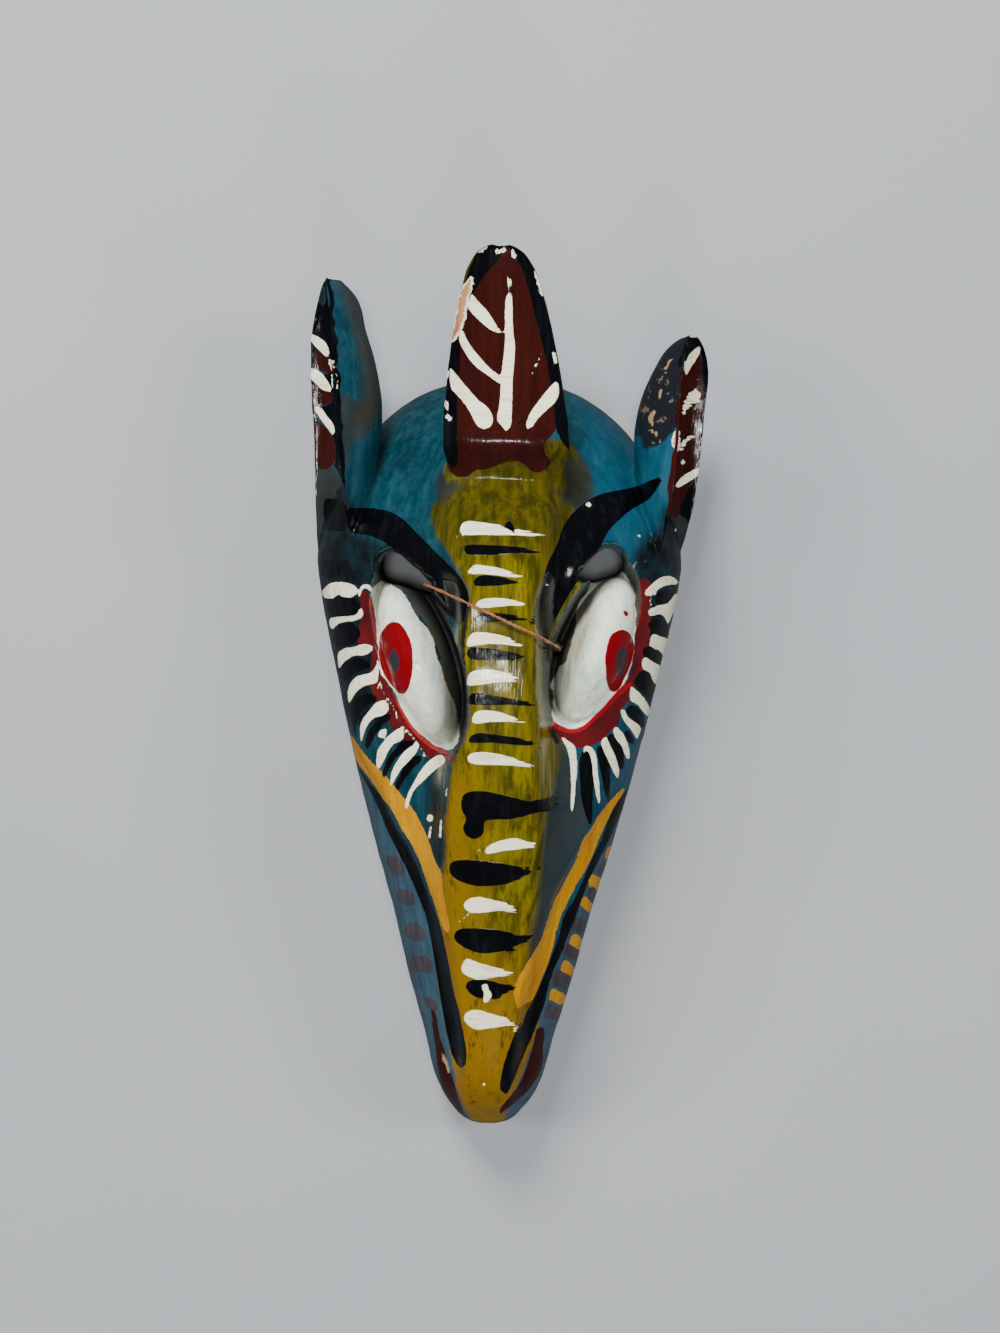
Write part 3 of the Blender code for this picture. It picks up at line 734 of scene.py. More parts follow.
BLACK_BARS = (
    ((464, 550), (467, 545), (486, 545), (505, 546), (523, 547), (530, 549), (543, 553), (523, 553),
     (505, 554), (486, 555), (468, 555)),
    ((472, 585), (476, 578), (482, 575), (495, 576), (510, 578), (520, 581), (531, 584), (519, 584),
     (505, 585), (490, 586), (477, 586)),
    ((474, 621), (479, 615), (492, 613), (508, 614), (520, 616), (531, 620), (537, 626), (523, 621),
     (508, 621), (493, 622), (479, 622)),
    ((467, 654), (470, 648), (486, 648), (504, 651), (520, 654), (540, 661), (527, 660), (508, 660),
     (486, 660), (471, 659)),
    ((467, 702), (470, 695), (478, 693), (495, 696), (514, 699), (529, 702), (541, 709), (527, 706),
     (504, 705), (482, 705), (470, 704)),
    ((468, 742), (471, 736), (480, 733), (499, 735), (518, 738), (534, 743), (544, 749), (530, 746),
     (514, 745), (495, 743), (475, 743)),
    ((461, 803), (464, 794), (474, 791), (489, 792), (511, 797), (529, 801), (541, 799), (551, 796),
     (556, 797), (558, 803), (553, 811), (541, 813), (529, 815), (511, 819), (489, 820), (484, 823),
     (484, 832), (479, 838), (472, 839), (465, 834), (463, 827), (466, 819), (462, 811)),
    ((449, 868), (454, 861), (474, 860), (499, 863), (516, 866), (528, 868), (539, 869), (526, 876),
     (516, 880), (502, 885), (479, 886), (462, 882), (452, 876)),
    ((454, 938), (458, 930), (474, 928), (499, 930), (514, 934), (532, 938), (526, 943), (511, 948),
     (499, 952), (479, 953), (462, 946)),
    ((466, 988), (469, 981), (484, 979), (499, 983), (517, 988), (504, 994), (497, 999), (484, 999),
     (474, 996)))
BAR_TAILS = (((526, 868, 3.6), (540, 868, 2)), ((512, 879, 3.6), (527, 875, 2)),
    ((522, 936, 4), (534, 937, 2)), ((512, 943, 3.6), (531, 944, 2)), ((506, 950, 3.6), (520, 949, 2)),
    ((500, 988, 2.5), (522, 989, 1)), ((500, 995, 2.5), (510, 993, 1)))
DAUB = ((481, 986), (487, 984), (489, 990), (492, 994), (489, 1001), (485, 1003), (483, 1000), (484, 993))
BLOT = ((503, 527), (507, 522), (511, 521), (513, 526), (516, 530), (512, 532), (508, 529))
# Splashes, dots and ticks of white: (x, y, width) points of each
WHITE_TICKS = (((458, 536, 1.6), (456, 539, 1.2)), ((462, 537, 1.4), (462, 541, 1)),
    ((430, 818, 7), (430, 818.5, 7)), ((431, 826, 2), (429, 838, 2.6)), ((441, 820, 2), (440, 838, 2)),
    ((447, 786, 1.4), (446, 796, 1.8)), ((470, 913, 1), (458, 923, 0.8)),
    ((479, 848, 1.4), (481, 852, 1.6)), ((476, 846, 1), (477, 850, 1)), ((515, 1029, 4), (515, 1029.5, 4)),
    ((484, 1084, 2.6), (484, 1084.5, 2.6)), ((527, 496, 2), (527, 496.5, 2)),
    ((588, 504, 4.6), (589, 505, 4.6)), ((546, 584, 3), (549, 585, 1.4)), ((639, 536, 3), (639, 536.5, 3)),
    ((676, 529, 2), (676, 531, 2)), ((683, 462, 4.4), (683, 462.5, 4.4)),
    ((697, 379, 1.6), (697, 379.5, 1.6)))
# Lashes round the eyes, from the brow to the nose, with the gaps of the ground left between them
WHITE_LASHES = (
    ((322, 592), (329, 584), (340, 582), (351, 584), (358, 590), (352, 597), (344, 597), (338, 595),
     (333, 598), (325, 598)),
    ((330, 619), (338, 617), (350, 616), (357, 614), (360, 608), (363, 611), (362, 617), (354, 621),
     (346, 622), (338, 624), (333, 629), (330, 627)),
    ((338, 662), (338, 654), (344, 649), (354, 647), (366, 644), (374, 648), (365, 655), (354, 656),
     (344, 662), (339, 669)),
    ((348, 692), (350, 684), (358, 676), (370, 673), (376, 666), (377, 658), (379, 664), (378, 677),
     (376, 683), (364, 686), (356, 692), (349, 703)),
    ((360, 728), (362, 720), (368, 712), (376, 703), (384, 701), (389, 708), (384, 715), (374, 718),
     (367, 726), (363, 736), (361, 742)),
    ((378, 735), (381, 730), (387, 729), (386, 736), (381, 738)),
    ((376, 762), (378, 750), (382, 744), (388, 736), (396, 730), (401, 728), (404, 735), (402, 740),
     (394, 744), (388, 752), (382, 764), (378, 769)),
    ((390, 783), (392, 772), (398, 760), (406, 750), (416, 744), (418, 749), (410, 760), (402, 768),
     (396, 778), (391, 786)),
    ((405, 805), (408, 794), (414, 782), (424, 766), (434, 757), (442, 755), (445, 762), (434, 771),
     (422, 782), (412, 794), (407, 809)),
    ((645, 592), (651, 585), (660, 578), (670, 576), (677, 580), (678, 584), (668, 585), (660, 588),
     (655, 593), (648, 596)),
    ((648, 611), (657, 606), (668, 603), (675, 594), (679, 596), (676, 606), (671, 618), (668, 624),
     (665, 618), (660, 614), (651, 616)),
    ((651, 636), (655, 634), (662, 637), (669, 640), (668, 649), (664, 657), (660, 651), (651, 646)),
    ((642, 661), (645, 657), (653, 662), (662, 667), (663, 672), (660, 679), (659, 686), (653, 681),
     (650, 673), (643, 669)),
    ((631, 687), (636, 690), (643, 697), (648, 704), (650, 710), (647, 716), (639, 706), (633, 702),
     (630, 699)),
    ((620, 711), (625, 710), (628, 717), (636, 723), (641, 728), (639, 734), (637, 739), (632, 731),
     (624, 721)),
    ((613, 730), (617, 727), (624, 735), (628, 745), (630, 757), (627, 759), (622, 747), (616, 739)),
    ((601, 743), (606, 737), (610, 745), (615, 756), (619, 770), (617, 778), (612, 768), (605, 753)),
    ((583, 753), (585, 746), (592, 748), (596, 756), (598, 773), (600, 800), (598, 802), (594, 783),
     (592, 762), (588, 751)),
    ((561, 736), (568, 741), (575, 747), (577, 764), (576, 783), (573, 809), (571, 811), (571, 783),
     (570, 764), (567, 749)))
BLACK_LASHES = (
    ((328, 599), (333, 597), (338, 595), (344, 597), (353, 598), (359, 603), (360, 609), (356, 616),
     (348, 617), (336, 618), (330, 617), (327, 608)),
    ((333, 637), (336, 628), (344, 623), (352, 623), (360, 630), (360, 636), (354, 643), (346, 646),
     (336, 647)),
    ((339, 673), (343, 664), (352, 659), (362, 658), (370, 664), (369, 668), (358, 672), (348, 678),
     (343, 681)),
    ((350, 709), (354, 699), (364, 694), (372, 694), (377, 700), (366, 706), (360, 714), (356, 726),
     (357, 739), (353, 728)),
    ((365, 745), (367, 734), (374, 724), (382, 716), (389, 714), (391, 718), (384, 724), (376, 734),
     (370, 746), (367, 750)),
    ((382, 774), (388, 758), (396, 748), (402, 741), (414, 741), (414, 746), (404, 751), (394, 760),
     (388, 772), (385, 777)),
    ((395, 786), (400, 774), (406, 764), (414, 756), (423, 757), (418, 764), (410, 772), (402, 784),
     (398, 790)),
    ((657, 594), (664, 590), (675, 592), (675, 597), (670, 603), (660, 604), (655, 601)),
    ((648, 624), (654, 619), (662, 620), (667, 625), (671, 632), (671, 638), (663, 639), (656, 634),
     (650, 629)),
    ((642, 650), (651, 646), (659, 652), (665, 659), (662, 667), (654, 665), (646, 660)),
    ((641, 671), (649, 674), (652, 681), (655, 689), (655, 699), (651, 702), (643, 693), (635, 685),
     (634, 680)),
    ((625, 711), (630, 705), (637, 707), (644, 716), (644, 728), (636, 723), (630, 717)),
    ((624, 733), (628, 730), (633, 737), (634, 744), (628, 742)),
    ((606, 737), (613, 734), (619, 739), (623, 749), (624, 767), (620, 769), (616, 757), (611, 746)),
    ((597, 748), (602, 746), (607, 754), (610, 769), (610, 799), (607, 801), (603, 783), (599, 764)),
    ((579, 766), (581, 753), (587, 750), (594, 753), (595, 773), (593, 794), (592, 821), (589, 824),
     (582, 802), (580, 783)))
# Brows, and dark patches on the temples
LEFT_BROW = ((348, 509), (358, 508), (372, 508), (388, 511), (402, 518), (413, 529), (424, 540), (441, 557),
    (455, 571), (465, 585), (469, 597), (467, 611), (460, 626), (455, 620), (442, 608), (430, 596),
    (418, 584), (408, 571), (398, 555), (384, 542), (370, 536), (354, 533), (349, 527))
RIGHT_BROW = ((662, 477), (646, 482), (634, 487), (619, 490), (601, 494), (583, 504), (570, 516),
    (562, 529), (557, 545), (549, 560), (542, 581), (538, 596), (534, 611), (533, 620), (538, 631),
    (543, 642), (547, 641), (552, 627), (560, 612), (569, 595), (580, 578), (592, 562), (600, 546),
    (610, 530), (620, 519), (634, 508), (648, 500), (656, 490))
TEMPLE_PATCHES = (
    ((324, 501), (335, 499), (344, 503), (348, 515), (348, 529), (336, 531), (326, 528)),
    ((320, 564), (330, 560), (339, 564), (340, 573), (334, 578), (322, 577)))
# Mouth lines, lips, gums and lids
LEFT_MOUTH = ((356, 764), (368, 780), (384, 802), (397, 829), (408, 846), (419, 871), (430, 900),
    (437, 915), (443, 935), (449, 965), (453, 987), (458, 1007), (463, 1031), (466, 1049), (466, 1062),
    (462, 1068), (457, 1064), (452, 1054), (447, 1034), (442, 1007), (439, 989), (435, 965), (430, 933),
    (426, 915), (421, 903), (410, 876), (399, 854), (387, 829), (377, 804), (366, 783))
RIGHT_MOUTH = ((625, 792), (612, 811), (602, 838), (591, 861), (582, 882), (574, 900), (564, 916),
    (557, 942), (549, 963), (540, 985), (531, 1004), (520, 1024), (512, 1040), (503, 1067), (500, 1086),
    (503, 1092), (508, 1092), (516, 1074), (525, 1053), (534, 1031), (543, 1008), (548, 988), (554, 969),
    (560, 957), (567, 939), (574, 921), (582, 899), (588, 882), (595, 868), (604, 850), (613, 831),
    (622, 811), (632, 790))
LEFT_LIP = ((343, 720), (352, 736), (362, 750), (372, 762), (387, 777), (402, 796), (414, 811), (426, 833),
    (431, 848), (436, 863), (441, 873), (443, 888), (447, 912), (450, 930), (444, 930), (436, 908),
    (428, 886), (420, 863), (412, 846), (403, 831), (393, 812), (381, 795), (367, 775), (357, 762),
    (349, 745), (344, 730))
RIGHT_LIP = ((622, 789), (619, 792), (604, 808), (591, 828), (582, 842), (576, 860), (565, 881), (555, 899),
    (548, 919), (542, 938), (533, 953), (522, 971), (515, 985), (514, 997), (518, 1008), (524, 1005),
    (533, 999), (541, 981), (548, 963), (554, 944), (559, 921), (566, 906), (576, 885), (587, 867),
    (598, 842), (610, 815), (624, 791))
LEFT_GUM = ((431, 1007), (436, 1015), (439, 1034), (443, 1044), (447, 1061), (452, 1076), (457, 1093),
    (461, 1105), (464, 1114), (457, 1115), (448, 1103), (442, 1088), (438, 1068), (435, 1046), (433, 1029))
RIGHT_GUM = ((537, 1029), (544, 1029), (543, 1047), (542, 1067), (534, 1083), (521, 1097), (506, 1110),
    (500, 1113), (501, 1107), (514, 1091), (523, 1076), (529, 1058), (534, 1042))
LEFT_LID = ((358, 592), (367, 592), (373, 606), (375, 622), (377, 640), (379, 656), (380, 669), (387, 679),
    (394, 690), (400, 703), (406, 715), (414, 727), (424, 736), (438, 746), (450, 750), (455, 756),
    (448, 763), (432, 760), (420, 749), (413, 744), (402, 741), (390, 726), (387, 710), (376, 702),
    (372, 690), (368, 678), (371, 664), (370, 650), (358, 643), (359, 632), (360, 622), (362, 612),
    (361, 604))
RIGHT_LID = ((640, 579), (651, 582), (648, 590), (652, 601), (649, 612), (651, 620), (650, 636), (650, 646),
    (644, 652), (647, 659), (643, 668), (643, 679), (636, 682), (633, 690), (631, 699), (621, 711),
    (619, 723), (611, 731), (602, 740), (590, 746), (579, 748), (570, 743), (560, 738), (553, 726),
    (552, 719), (560, 726), (571, 729), (582, 726), (592, 718), (604, 706), (614, 695), (622, 687),
    (629, 676), (632, 662), (634, 640), (635, 618), (636, 600))
LID_LINES = (
    ((370, 600, 3), (374, 618, 3.5), (376, 640, 2.6)),
    ((396, 700, 2), (406, 719, 3.4), (418, 735, 3.6), (434, 748, 4), (446, 752, 3)),
    ((553, 723, 4), (560, 728, 5), (571, 731, 4.6), (583, 728, 4.6), (594, 719, 4.4), (606, 707, 4.4),
     (616, 696, 5), (624, 688, 6), (630, 684, 4)))
GESSO_LINES = (
    ((378, 688, 1.2), (381, 682, 1.4), (383, 692, 1.4), (390, 702, 1.4), (396, 713, 1.4), (399, 726, 1.2)),
    ((402, 727, 2.6), (408, 732, 2), (415, 740, 1.4), (421, 748, 1.2), (426, 755, 1.4), (422, 757, 1)),
    ((359, 596, 2), (361, 589, 3), (366, 586, 4), (372, 590, 4)),
    ((655, 594, 2), (650, 600, 1.4), (652, 607, 1.4)),
    ((651, 640, 1.6), (650, 646, 1.2)))
# Eyeballs: white, iris and pupil
EYE_WHITES = (
    ((371, 592), (374, 586), (387, 579), (393, 586), (400, 590), (408, 600), (414, 612), (424, 624),
     (432, 636), (437, 656), (443, 672), (447, 686), (456, 706), (457, 714), (459, 730), (458, 742),
     (450, 750), (438, 747), (424, 737), (410, 724), (402, 710), (396, 694), (386, 680), (379, 668),
     (378, 650), (376, 636), (375, 622), (374, 608)),
    ((590, 585), (596, 580), (609, 573), (619, 571), (627, 577), (633, 590), (635, 605), (636, 620),
     (634, 640), (633, 654), (630, 670), (626, 681), (620, 689), (613, 696), (604, 707), (592, 719),
     (583, 727), (571, 730), (560, 727), (553, 720), (552, 707), (554, 692), (549, 686), (554, 676),
     (559, 667), (566, 661), (570, 647), (573, 635), (576, 623), (576, 612), (580, 601), (586, 594)))
IRISES = (
    ((380, 636), (386, 626), (392, 622), (400, 623), (407, 633), (412, 646), (413, 662), (411, 680),
     (406, 692), (400, 694), (392, 686), (384, 674), (379, 660), (379, 646)),
    ((606, 668), (605, 658), (607, 645), (611, 635), (619, 630), (627, 631), (632, 638), (634, 647),
     (632, 660), (628, 672), (624, 680), (620, 688), (614, 692), (609, 689), (606, 679)),
    ((623, 612), (625, 610), (628, 613), (628, 616), (625, 616)))
PUPILS = (
    ((389, 661), (391, 652), (394, 649), (397, 653), (399, 662), (397, 671), (394, 673), (391, 669)),
    ((616, 664), (617, 653), (621, 648), (626, 648), (627, 656), (626, 667), (622, 676), (618, 674)))
SOCKET_EDGES = (
    ((545, 600, 8), (545, 640, 8), (546, 690, 7), (550, 724, 7), (557, 742, 5)),
    ((468, 604, 5), (463, 640, 5), (464, 690, 5), (463, 730, 6), (456, 752, 5)))
# Places where the white of the eyes is thin and brown
EYE_TINTS = (
    ((552, 712), (555, 690), (560, 668), (568, 650), (575, 622), (584, 600), (596, 590), (592, 615),
     (585, 645), (576, 670), (566, 700)),
    ((440, 640), (448, 672), (458, 705), (458, 735), (450, 746), (448, 715), (440, 680)))
# The mustard ground of the forehead, the bridge and the snout
MUSTARD = ((446, 470), (441, 488), (439, 501), (431, 506), (431, 520), (437, 536), (450, 556), (466, 586),
    (468, 600), (465, 615), (457, 628), (456, 645), (459, 665), (461, 690), (461, 715), (458, 738),
    (456, 752), (451, 768), (449, 790), (446, 812), (443, 832), (445, 850), (443, 872), (437, 900),
    (432, 930), (436, 965), (440, 990), (445, 1015), (450, 1045), (455, 1080), (464, 1108), (478, 1124),
    (498, 1124), (508, 1110), (517, 1088), (529, 1055), (538, 1022), (532, 1000), (522, 985), (526, 965),
    (536, 945), (540, 915), (542, 885), (544, 850), (549, 812), (556, 784), (562, 764), (566, 751),
    (560, 736), (552, 719), (549, 700), (548, 680), (549, 662), (552, 644), (557, 630), (566, 610),
    (579, 591), (592, 575), (603, 562), (598, 548), (580, 530), (572, 518), (584, 500), (590, 480),
    (582, 460), (572, 444), (558, 440), (530, 440), (490, 440), (460, 455))
LEFT_JAW = ((350, 764), (366, 783), (387, 829), (410, 876), (430, 933), (442, 1007), (452, 1054),
    (462, 1070), (472, 1120), (480, 1145), (420, 1145), (330, 1000), (300, 860), (312, 790), (332, 764))
RIGHT_JAW = ((635, 790), (613, 831), (595, 868), (574, 921), (554, 969), (534, 1031), (508, 1092),
    (496, 1120), (490, 1145), (580, 1145), (660, 1000), (700, 860), (690, 800), (662, 784))
# Jaw spots
GREY_SPOTS = (
    ((386, 860), (390, 855), (399, 857), (405, 868), (403, 876), (395, 875), (389, 868)),
    ((395, 894), (398, 890), (408, 890), (415, 898), (414, 905), (405, 905), (398, 901)),
    ((404, 930), (407, 924), (418, 923), (425, 932), (424, 941), (414, 941), (406, 937)),
    ((410, 960), (413, 956), (425, 956), (433, 963), (431, 973), (421, 972), (412, 972)),
    ((422, 999), (427, 997), (435, 1000), (439, 1008), (434, 1010), (426, 1007)),
    ((598, 870), (601, 863), (606, 865), (604, 876), (599, 876)),
    ((587, 896), (592, 886), (598, 893), (597, 900), (594, 904), (589, 900)),
    ((572, 928), (576, 917), (583, 918), (588, 925), (586, 935), (578, 932)),
    ((562, 953), (565, 943), (574, 947), (581, 952), (579, 961), (569, 957)),
    ((552, 984), (556, 969), (565, 973), (574, 979), (571, 992), (560, 987)),
    ((543, 1017), (548, 1004), (557, 1007), (565, 1013), (562, 1024), (552, 1019)))
YELLOW_SPOTS = (
    ((605, 856), (608, 846), (612, 848), (610, 857), (606, 859)),
    ((588, 879), (592, 874), (597, 876), (602, 880), (598, 887), (597, 893), (590, 887)),
    ((579, 903), (585, 896), (589, 900), (594, 906), (591, 913), (583, 908)),
    ((569, 943), (573, 934), (579, 936), (584, 943), (581, 952), (574, 947)),
    ((560, 970), (564, 960), (570, 963), (575, 969), (573, 979), (563, 973)),
    ((549, 999), (552, 989), (559, 991), (566, 996), (562, 1005), (553, 1001)))
# The horn: dark red scoop, black border, white veins
HORN_RED = ((448, 458), (448, 468), (455, 476), (464, 477), (470, 475), (476, 470), (486, 470), (498, 465),
    (508, 462), (520, 462), (526, 466), (530, 470), (539, 473), (547, 468), (552, 463), (547, 457),
    (544, 450), (545, 442), (554, 432), (560, 412), (557, 385), (548, 355), (538, 315), (528, 280),
    (518, 255), (508, 246), (496, 252), (484, 265), (472, 290), (462, 325), (457, 350), (450, 390),
    (448, 430))
HORN_BLACK = ((442, 385), (440, 430), (444, 455), (449, 465), (455, 467), (458, 460), (457, 430),
    (457, 400), (460, 360), (461, 337), (464, 322), (470, 298), (475, 291), (481, 280), (490, 269),
    (497, 262), (501, 254), (504, 248), (512, 250), (518, 261), (523, 271), (529, 291), (535, 316),
    (542, 342), (546, 361), (551, 385), (554, 410), (556, 427), (561, 440), (567, 448), (571, 450),
    (577, 440), (576, 415), (570, 390), (563, 365), (555, 335), (549, 305), (541, 280), (533, 260),
    (521, 245), (508, 238), (490, 238), (478, 245), (474, 258), (468, 272), (463, 290), (454, 320),
    (446, 345))
HORN_VEINS = (
    ((506, 298), (509, 294), (512, 298), (513, 327), (515, 350), (513, 376), (512, 405), (511, 424),
     (508, 432), (501, 425), (498, 417), (500, 400), (501, 380), (503, 362), (505, 340), (505, 316)),
    ((470, 298), (472, 294), (478, 301), (488, 312), (495, 323), (501, 333), (493, 331), (483, 324),
     (474, 315), (467, 306)),
    ((459, 340), (460, 331), (463, 331), (469, 343), (481, 359), (491, 369), (503, 379), (499, 383),
     (486, 374), (474, 365), (464, 351)),
    ((450, 369), (454, 372), (464, 384), (478, 400), (488, 408), (493, 418), (490, 427), (483, 429),
     (476, 424), (469, 410), (459, 397), (451, 388)),
    ((557, 382), (559, 392), (555, 402), (541, 415), (530, 429), (526, 424), (531, 412), (541, 398),
     (552, 385)))
VEIN_HAIRS = (
    ((508, 274, 0.8), (508, 286, 1), (508, 298, 1.6)),
    ((511, 280, 0.6), (511, 298, 1.4)),
    ((498, 328, 1), (506, 334, 0.8)),
    ((542, 352, 0.8), (535, 367, 1.6), (529, 380, 0.8)),
    ((541, 357, 0.6), (532, 374, 1)))
# The ears: dark red inside, white stripes, and a black or grey foot
EAR_REDS = (
    ((316, 352), (324, 354), (333, 362), (333, 374), (322, 371), (315, 366)),
    ((313, 383), (322, 387), (332, 392), (332, 402), (322, 406), (313, 404)),
    ((313, 420), (322, 424), (334, 440), (336, 458), (330, 468), (318, 468), (313, 450)),
    ((681, 368), (690, 356), (700, 350), (702, 372), (705, 400), (703, 425), (701, 450), (698, 468),
     (690, 487), (681, 505), (679, 516), (668, 517), (666, 500), (668, 480), (671, 462), (674, 440),
     (676, 415), (678, 390)))
EAR_GREYS = (
    ((306, 480), (318, 468), (334, 466), (344, 490), (350, 530), (340, 560), (310, 575), (304, 520)),
    ((669, 516), (680, 515), (690, 525), (692, 550), (680, 566), (668, 555)),
    ((318, 289), (324, 286), (326, 300), (322, 306), (318, 300)))
EAR_STRIPES = (
    ((306, 333), (311, 334), (320, 338), (327, 345), (329, 358), (320, 351), (311, 341)),
    ((305, 368), (309, 368), (318, 370), (326, 379), (332, 391), (323, 390), (313, 381), (307, 374)),
    ((314, 407), (321, 408), (328, 417), (334, 426), (334, 436), (329, 430), (321, 420)),
    ((688, 357), (695, 349), (700, 347), (699, 355), (691, 367), (686, 375), (685, 367)),
    ((683, 405), (689, 393), (696, 389), (701, 395), (697, 404), (690, 406), (683, 416)),
    ((679, 449), (683, 440), (694, 436), (687, 443), (682, 451)),
    ((676, 485), (682, 477), (693, 470), (701, 467), (697, 476), (690, 481), (679, 487)))
EAR_BLACK = ((704, 326), (672, 334), (653, 356), (640, 385), (630, 410), (630, 434), (640, 437), (643, 450),
    (645, 461), (648, 452), (653, 447), (660, 445), (665, 440), (672, 434), (680, 428), (688, 418),
    (692, 400), (694, 380), (698, 355), (702, 340))
# Worn places that show tan wood, and deep chips with a white edge
TAN_SPOTS = (
    ((665, 369, 4), (669, 362, 3), (672, 359, 2)),
    ((664, 373, 2.4), (667, 373, 2)),
    ((659, 398, 2.5), (661, 390, 2.5)),
    ((654, 412, 4), (650, 418, 5), (652, 424, 3)),
    ((650, 431, 3), (657, 434, 4), (659, 442, 3)),
    ((632, 568, 3), (637, 562, 2.4)),
    ((442, 1052, 2), (446, 1062, 3), (449, 1072, 2.4)),
    ((644, 560, 2), (646, 563, 1.5)))
CHIPS = (
    ((471, 279, 4), (467, 289, 8), (462, 303, 9), (460, 318, 9), (456, 330, 8), (452, 340, 4)),
    ((536, 272, 2), (540, 284, 3), (543, 294, 2)),
    ((479, 250, 3), (485, 248, 2)),
    ((498, 252, 3), (504, 250, 3)),
    ((513, 252, 3), (514, 257, 2)),
    ((446, 402, 1.6), (447, 408, 1.4)),
    ((448, 417, 3), (450, 419, 2)),
    ((331, 362, 3.4), (332, 367, 2)),
    ((334, 376, 3.4), (335, 386, 4)),
    ((677, 433, 3), (676, 442, 7), (677, 451, 2)),
    ((684, 362, 2), (683, 369, 2)),
    ((447, 372, 1.6), (447, 377, 1.4)),
    ((554, 354, 1.4), (556, 362, 1.4)))
# Soft shades: dark temples, grey smears and painted shade in creases, and a brown wash down the left ear
DARK_GROUND = (
    ((306, 470), (336, 470), (350, 505), (356, 532), (372, 540), (392, 552), (386, 575), (364, 586),
     (345, 592), (322, 600), (308, 590), (304, 520)),
    ((322, 590), (345, 586), (364, 592), (378, 640), (384, 680), (394, 706), (388, 722), (366, 726),
     (350, 722), (336, 690), (326, 640)),
    ((634, 560), (640, 545), (656, 528), (668, 506), (700, 500), (700, 560), (690, 600), (680, 640),
     (668, 680), (654, 706), (640, 706), (634, 690), (640, 640), (640, 600)),
    ((430, 765), (446, 765), (446, 800), (442, 870), (432, 850), (430, 820)))
GREY_SMEAR_AND_SHADE = (
    ((552, 728), (561, 736), (570, 760), (580, 785), (587, 815), (582, 838), (573, 858), (561, 885),
     (549, 912), (540, 940), (532, 955), (528, 945), (535, 915), (540, 880), (543, 850), (548, 812),
     (555, 780), (556, 755)),
    ((552, 470), (560, 456), (575, 458), (590, 472), (594, 500), (586, 516), (570, 506), (556, 490)),
    ((545, 640), (551, 650), (552, 690), (553, 715), (546, 715), (545, 680)),
    ((440, 470), (447, 478), (460, 484), (452, 494), (442, 504), (436, 490)),
    ((455, 628), (460, 640), (462, 690), (462, 720), (458, 740), (453, 740), (453, 690)),
    ((330, 395), (352, 398), (364, 412), (352, 440), (345, 470), (338, 440)))
MUD = (
    ((334, 275), (348, 282), (362, 320), (376, 370), (384, 405), (372, 425), (356, 440), (352, 425),
     (364, 400), (362, 370), (356, 335), (346, 305)),)


# Which points belong to the horn, to an ear and to the side walls, in millimetres
HORN_ZONE = 32.0
EAR_ZONE = (40.0, 4.0, 24.0)
NEAR_HORN = 6.0
NEAR_HORN_HEIGHT = 0.72 * FACE_DEPTH
WALL_SLACK = 3.0
WALL_TOP = EAR_FOOT + 12
BROW_DROP = 6.0


def paint_plane(places):
    """Where each point falls on the painter's plane; a side wall goes on outwards past the outline."""
    x, y, z = places.T
    scale = (EYE_POINT[2] - PAINT_PLANE) / (EYE_POINT[2] - z)
    u = x * scale
    v = EYE_POINT[1] + (y - EYE_POINT[1]) * scale
    stations = np.linspace(1.0 - NOSE_REACH, CROWN - 1.0, 160)
    edge_x = np.empty(len(stations))
    edge_z = np.empty(len(stations))
    edge_u = np.empty(len(stations))
    for i, station in enumerate(stations):
        across = outline(station) * np.sin(np.linspace(0.0, 0.5, 200) * math.pi)
        height = face_height(across + HEAD_LEAN, np.full_like(across, station))
        seen = across * (EYE_POINT[2] - PAINT_PLANE) / (EYE_POINT[2] - height)
        top = int(np.argmax(seen))
        edge_x[i], edge_z[i], edge_u[i] = across[top], height[top], seen[top]
    side_x = np.interp(y, stations, edge_x)
    side_z = np.interp(y, stations, edge_z)
    side_u = np.interp(y, stations, edge_u)
    reach = np.abs(x - HEAD_LEAN)
    past = (reach >= side_x - WALL_SLACK) & (z < side_z) & (y < WALL_TOP)
    wall = side_u + np.hypot(reach - side_x, z - side_z)
    return np.where(past, np.sign(x) * wall + HEAD_LEAN, u), v, np.where(past, side_z - z, 0.0)


def picture_points(u, v):
    """The points of the photograph that show the given points of the painter's plane."""
    turn = math.radians(CAMERA_ROLL)
    rise = v - EYE_POINT[1]
    across = u * math.cos(turn) + rise * math.sin(turn)
    up = rise * math.cos(turn) - u * math.sin(turn)
    return PICTURE_MIDDLE[0] + PICTURE_SCALE * across, PICTURE_MIDDLE[1] - PICTURE_SCALE * up


def leaf_depth(places, stations, side, length):
    """How far a point lies behind the middle of an ear's wall."""
    x, y, z = places.T
    share = np.clip((y - EAR_FOOT) / length, 0.0, 1.0)
    values = [along(stations, share, column) for column in range(1, 6)]
    bx, bz = -(EAR_SPREAD / 2 + values[0]), values[1]
    fx, fz = -(EAR_SPREAD / 2 + values[2]), values[3]
    bulge = values[4]
    hollow = np.maximum(bulge - EAR_THICKNESS, LEAST_EAR_HOLLOW * bulge)
    cx, cz = fx - bx, fz - bz
    chord = np.hypot(cx, cz)
    px = -side * x - bx
    pz = z - bz
    run = np.clip((px * cx + pz * cz) / chord**2, 0.0, 1.0)
    depth = (px * cz - pz * cx) / chord
    middle = (bulge + hollow) / 2 * np.sqrt(np.clip(4 * run * (1 - run), 0.0, 1.0))
    return depth - middle


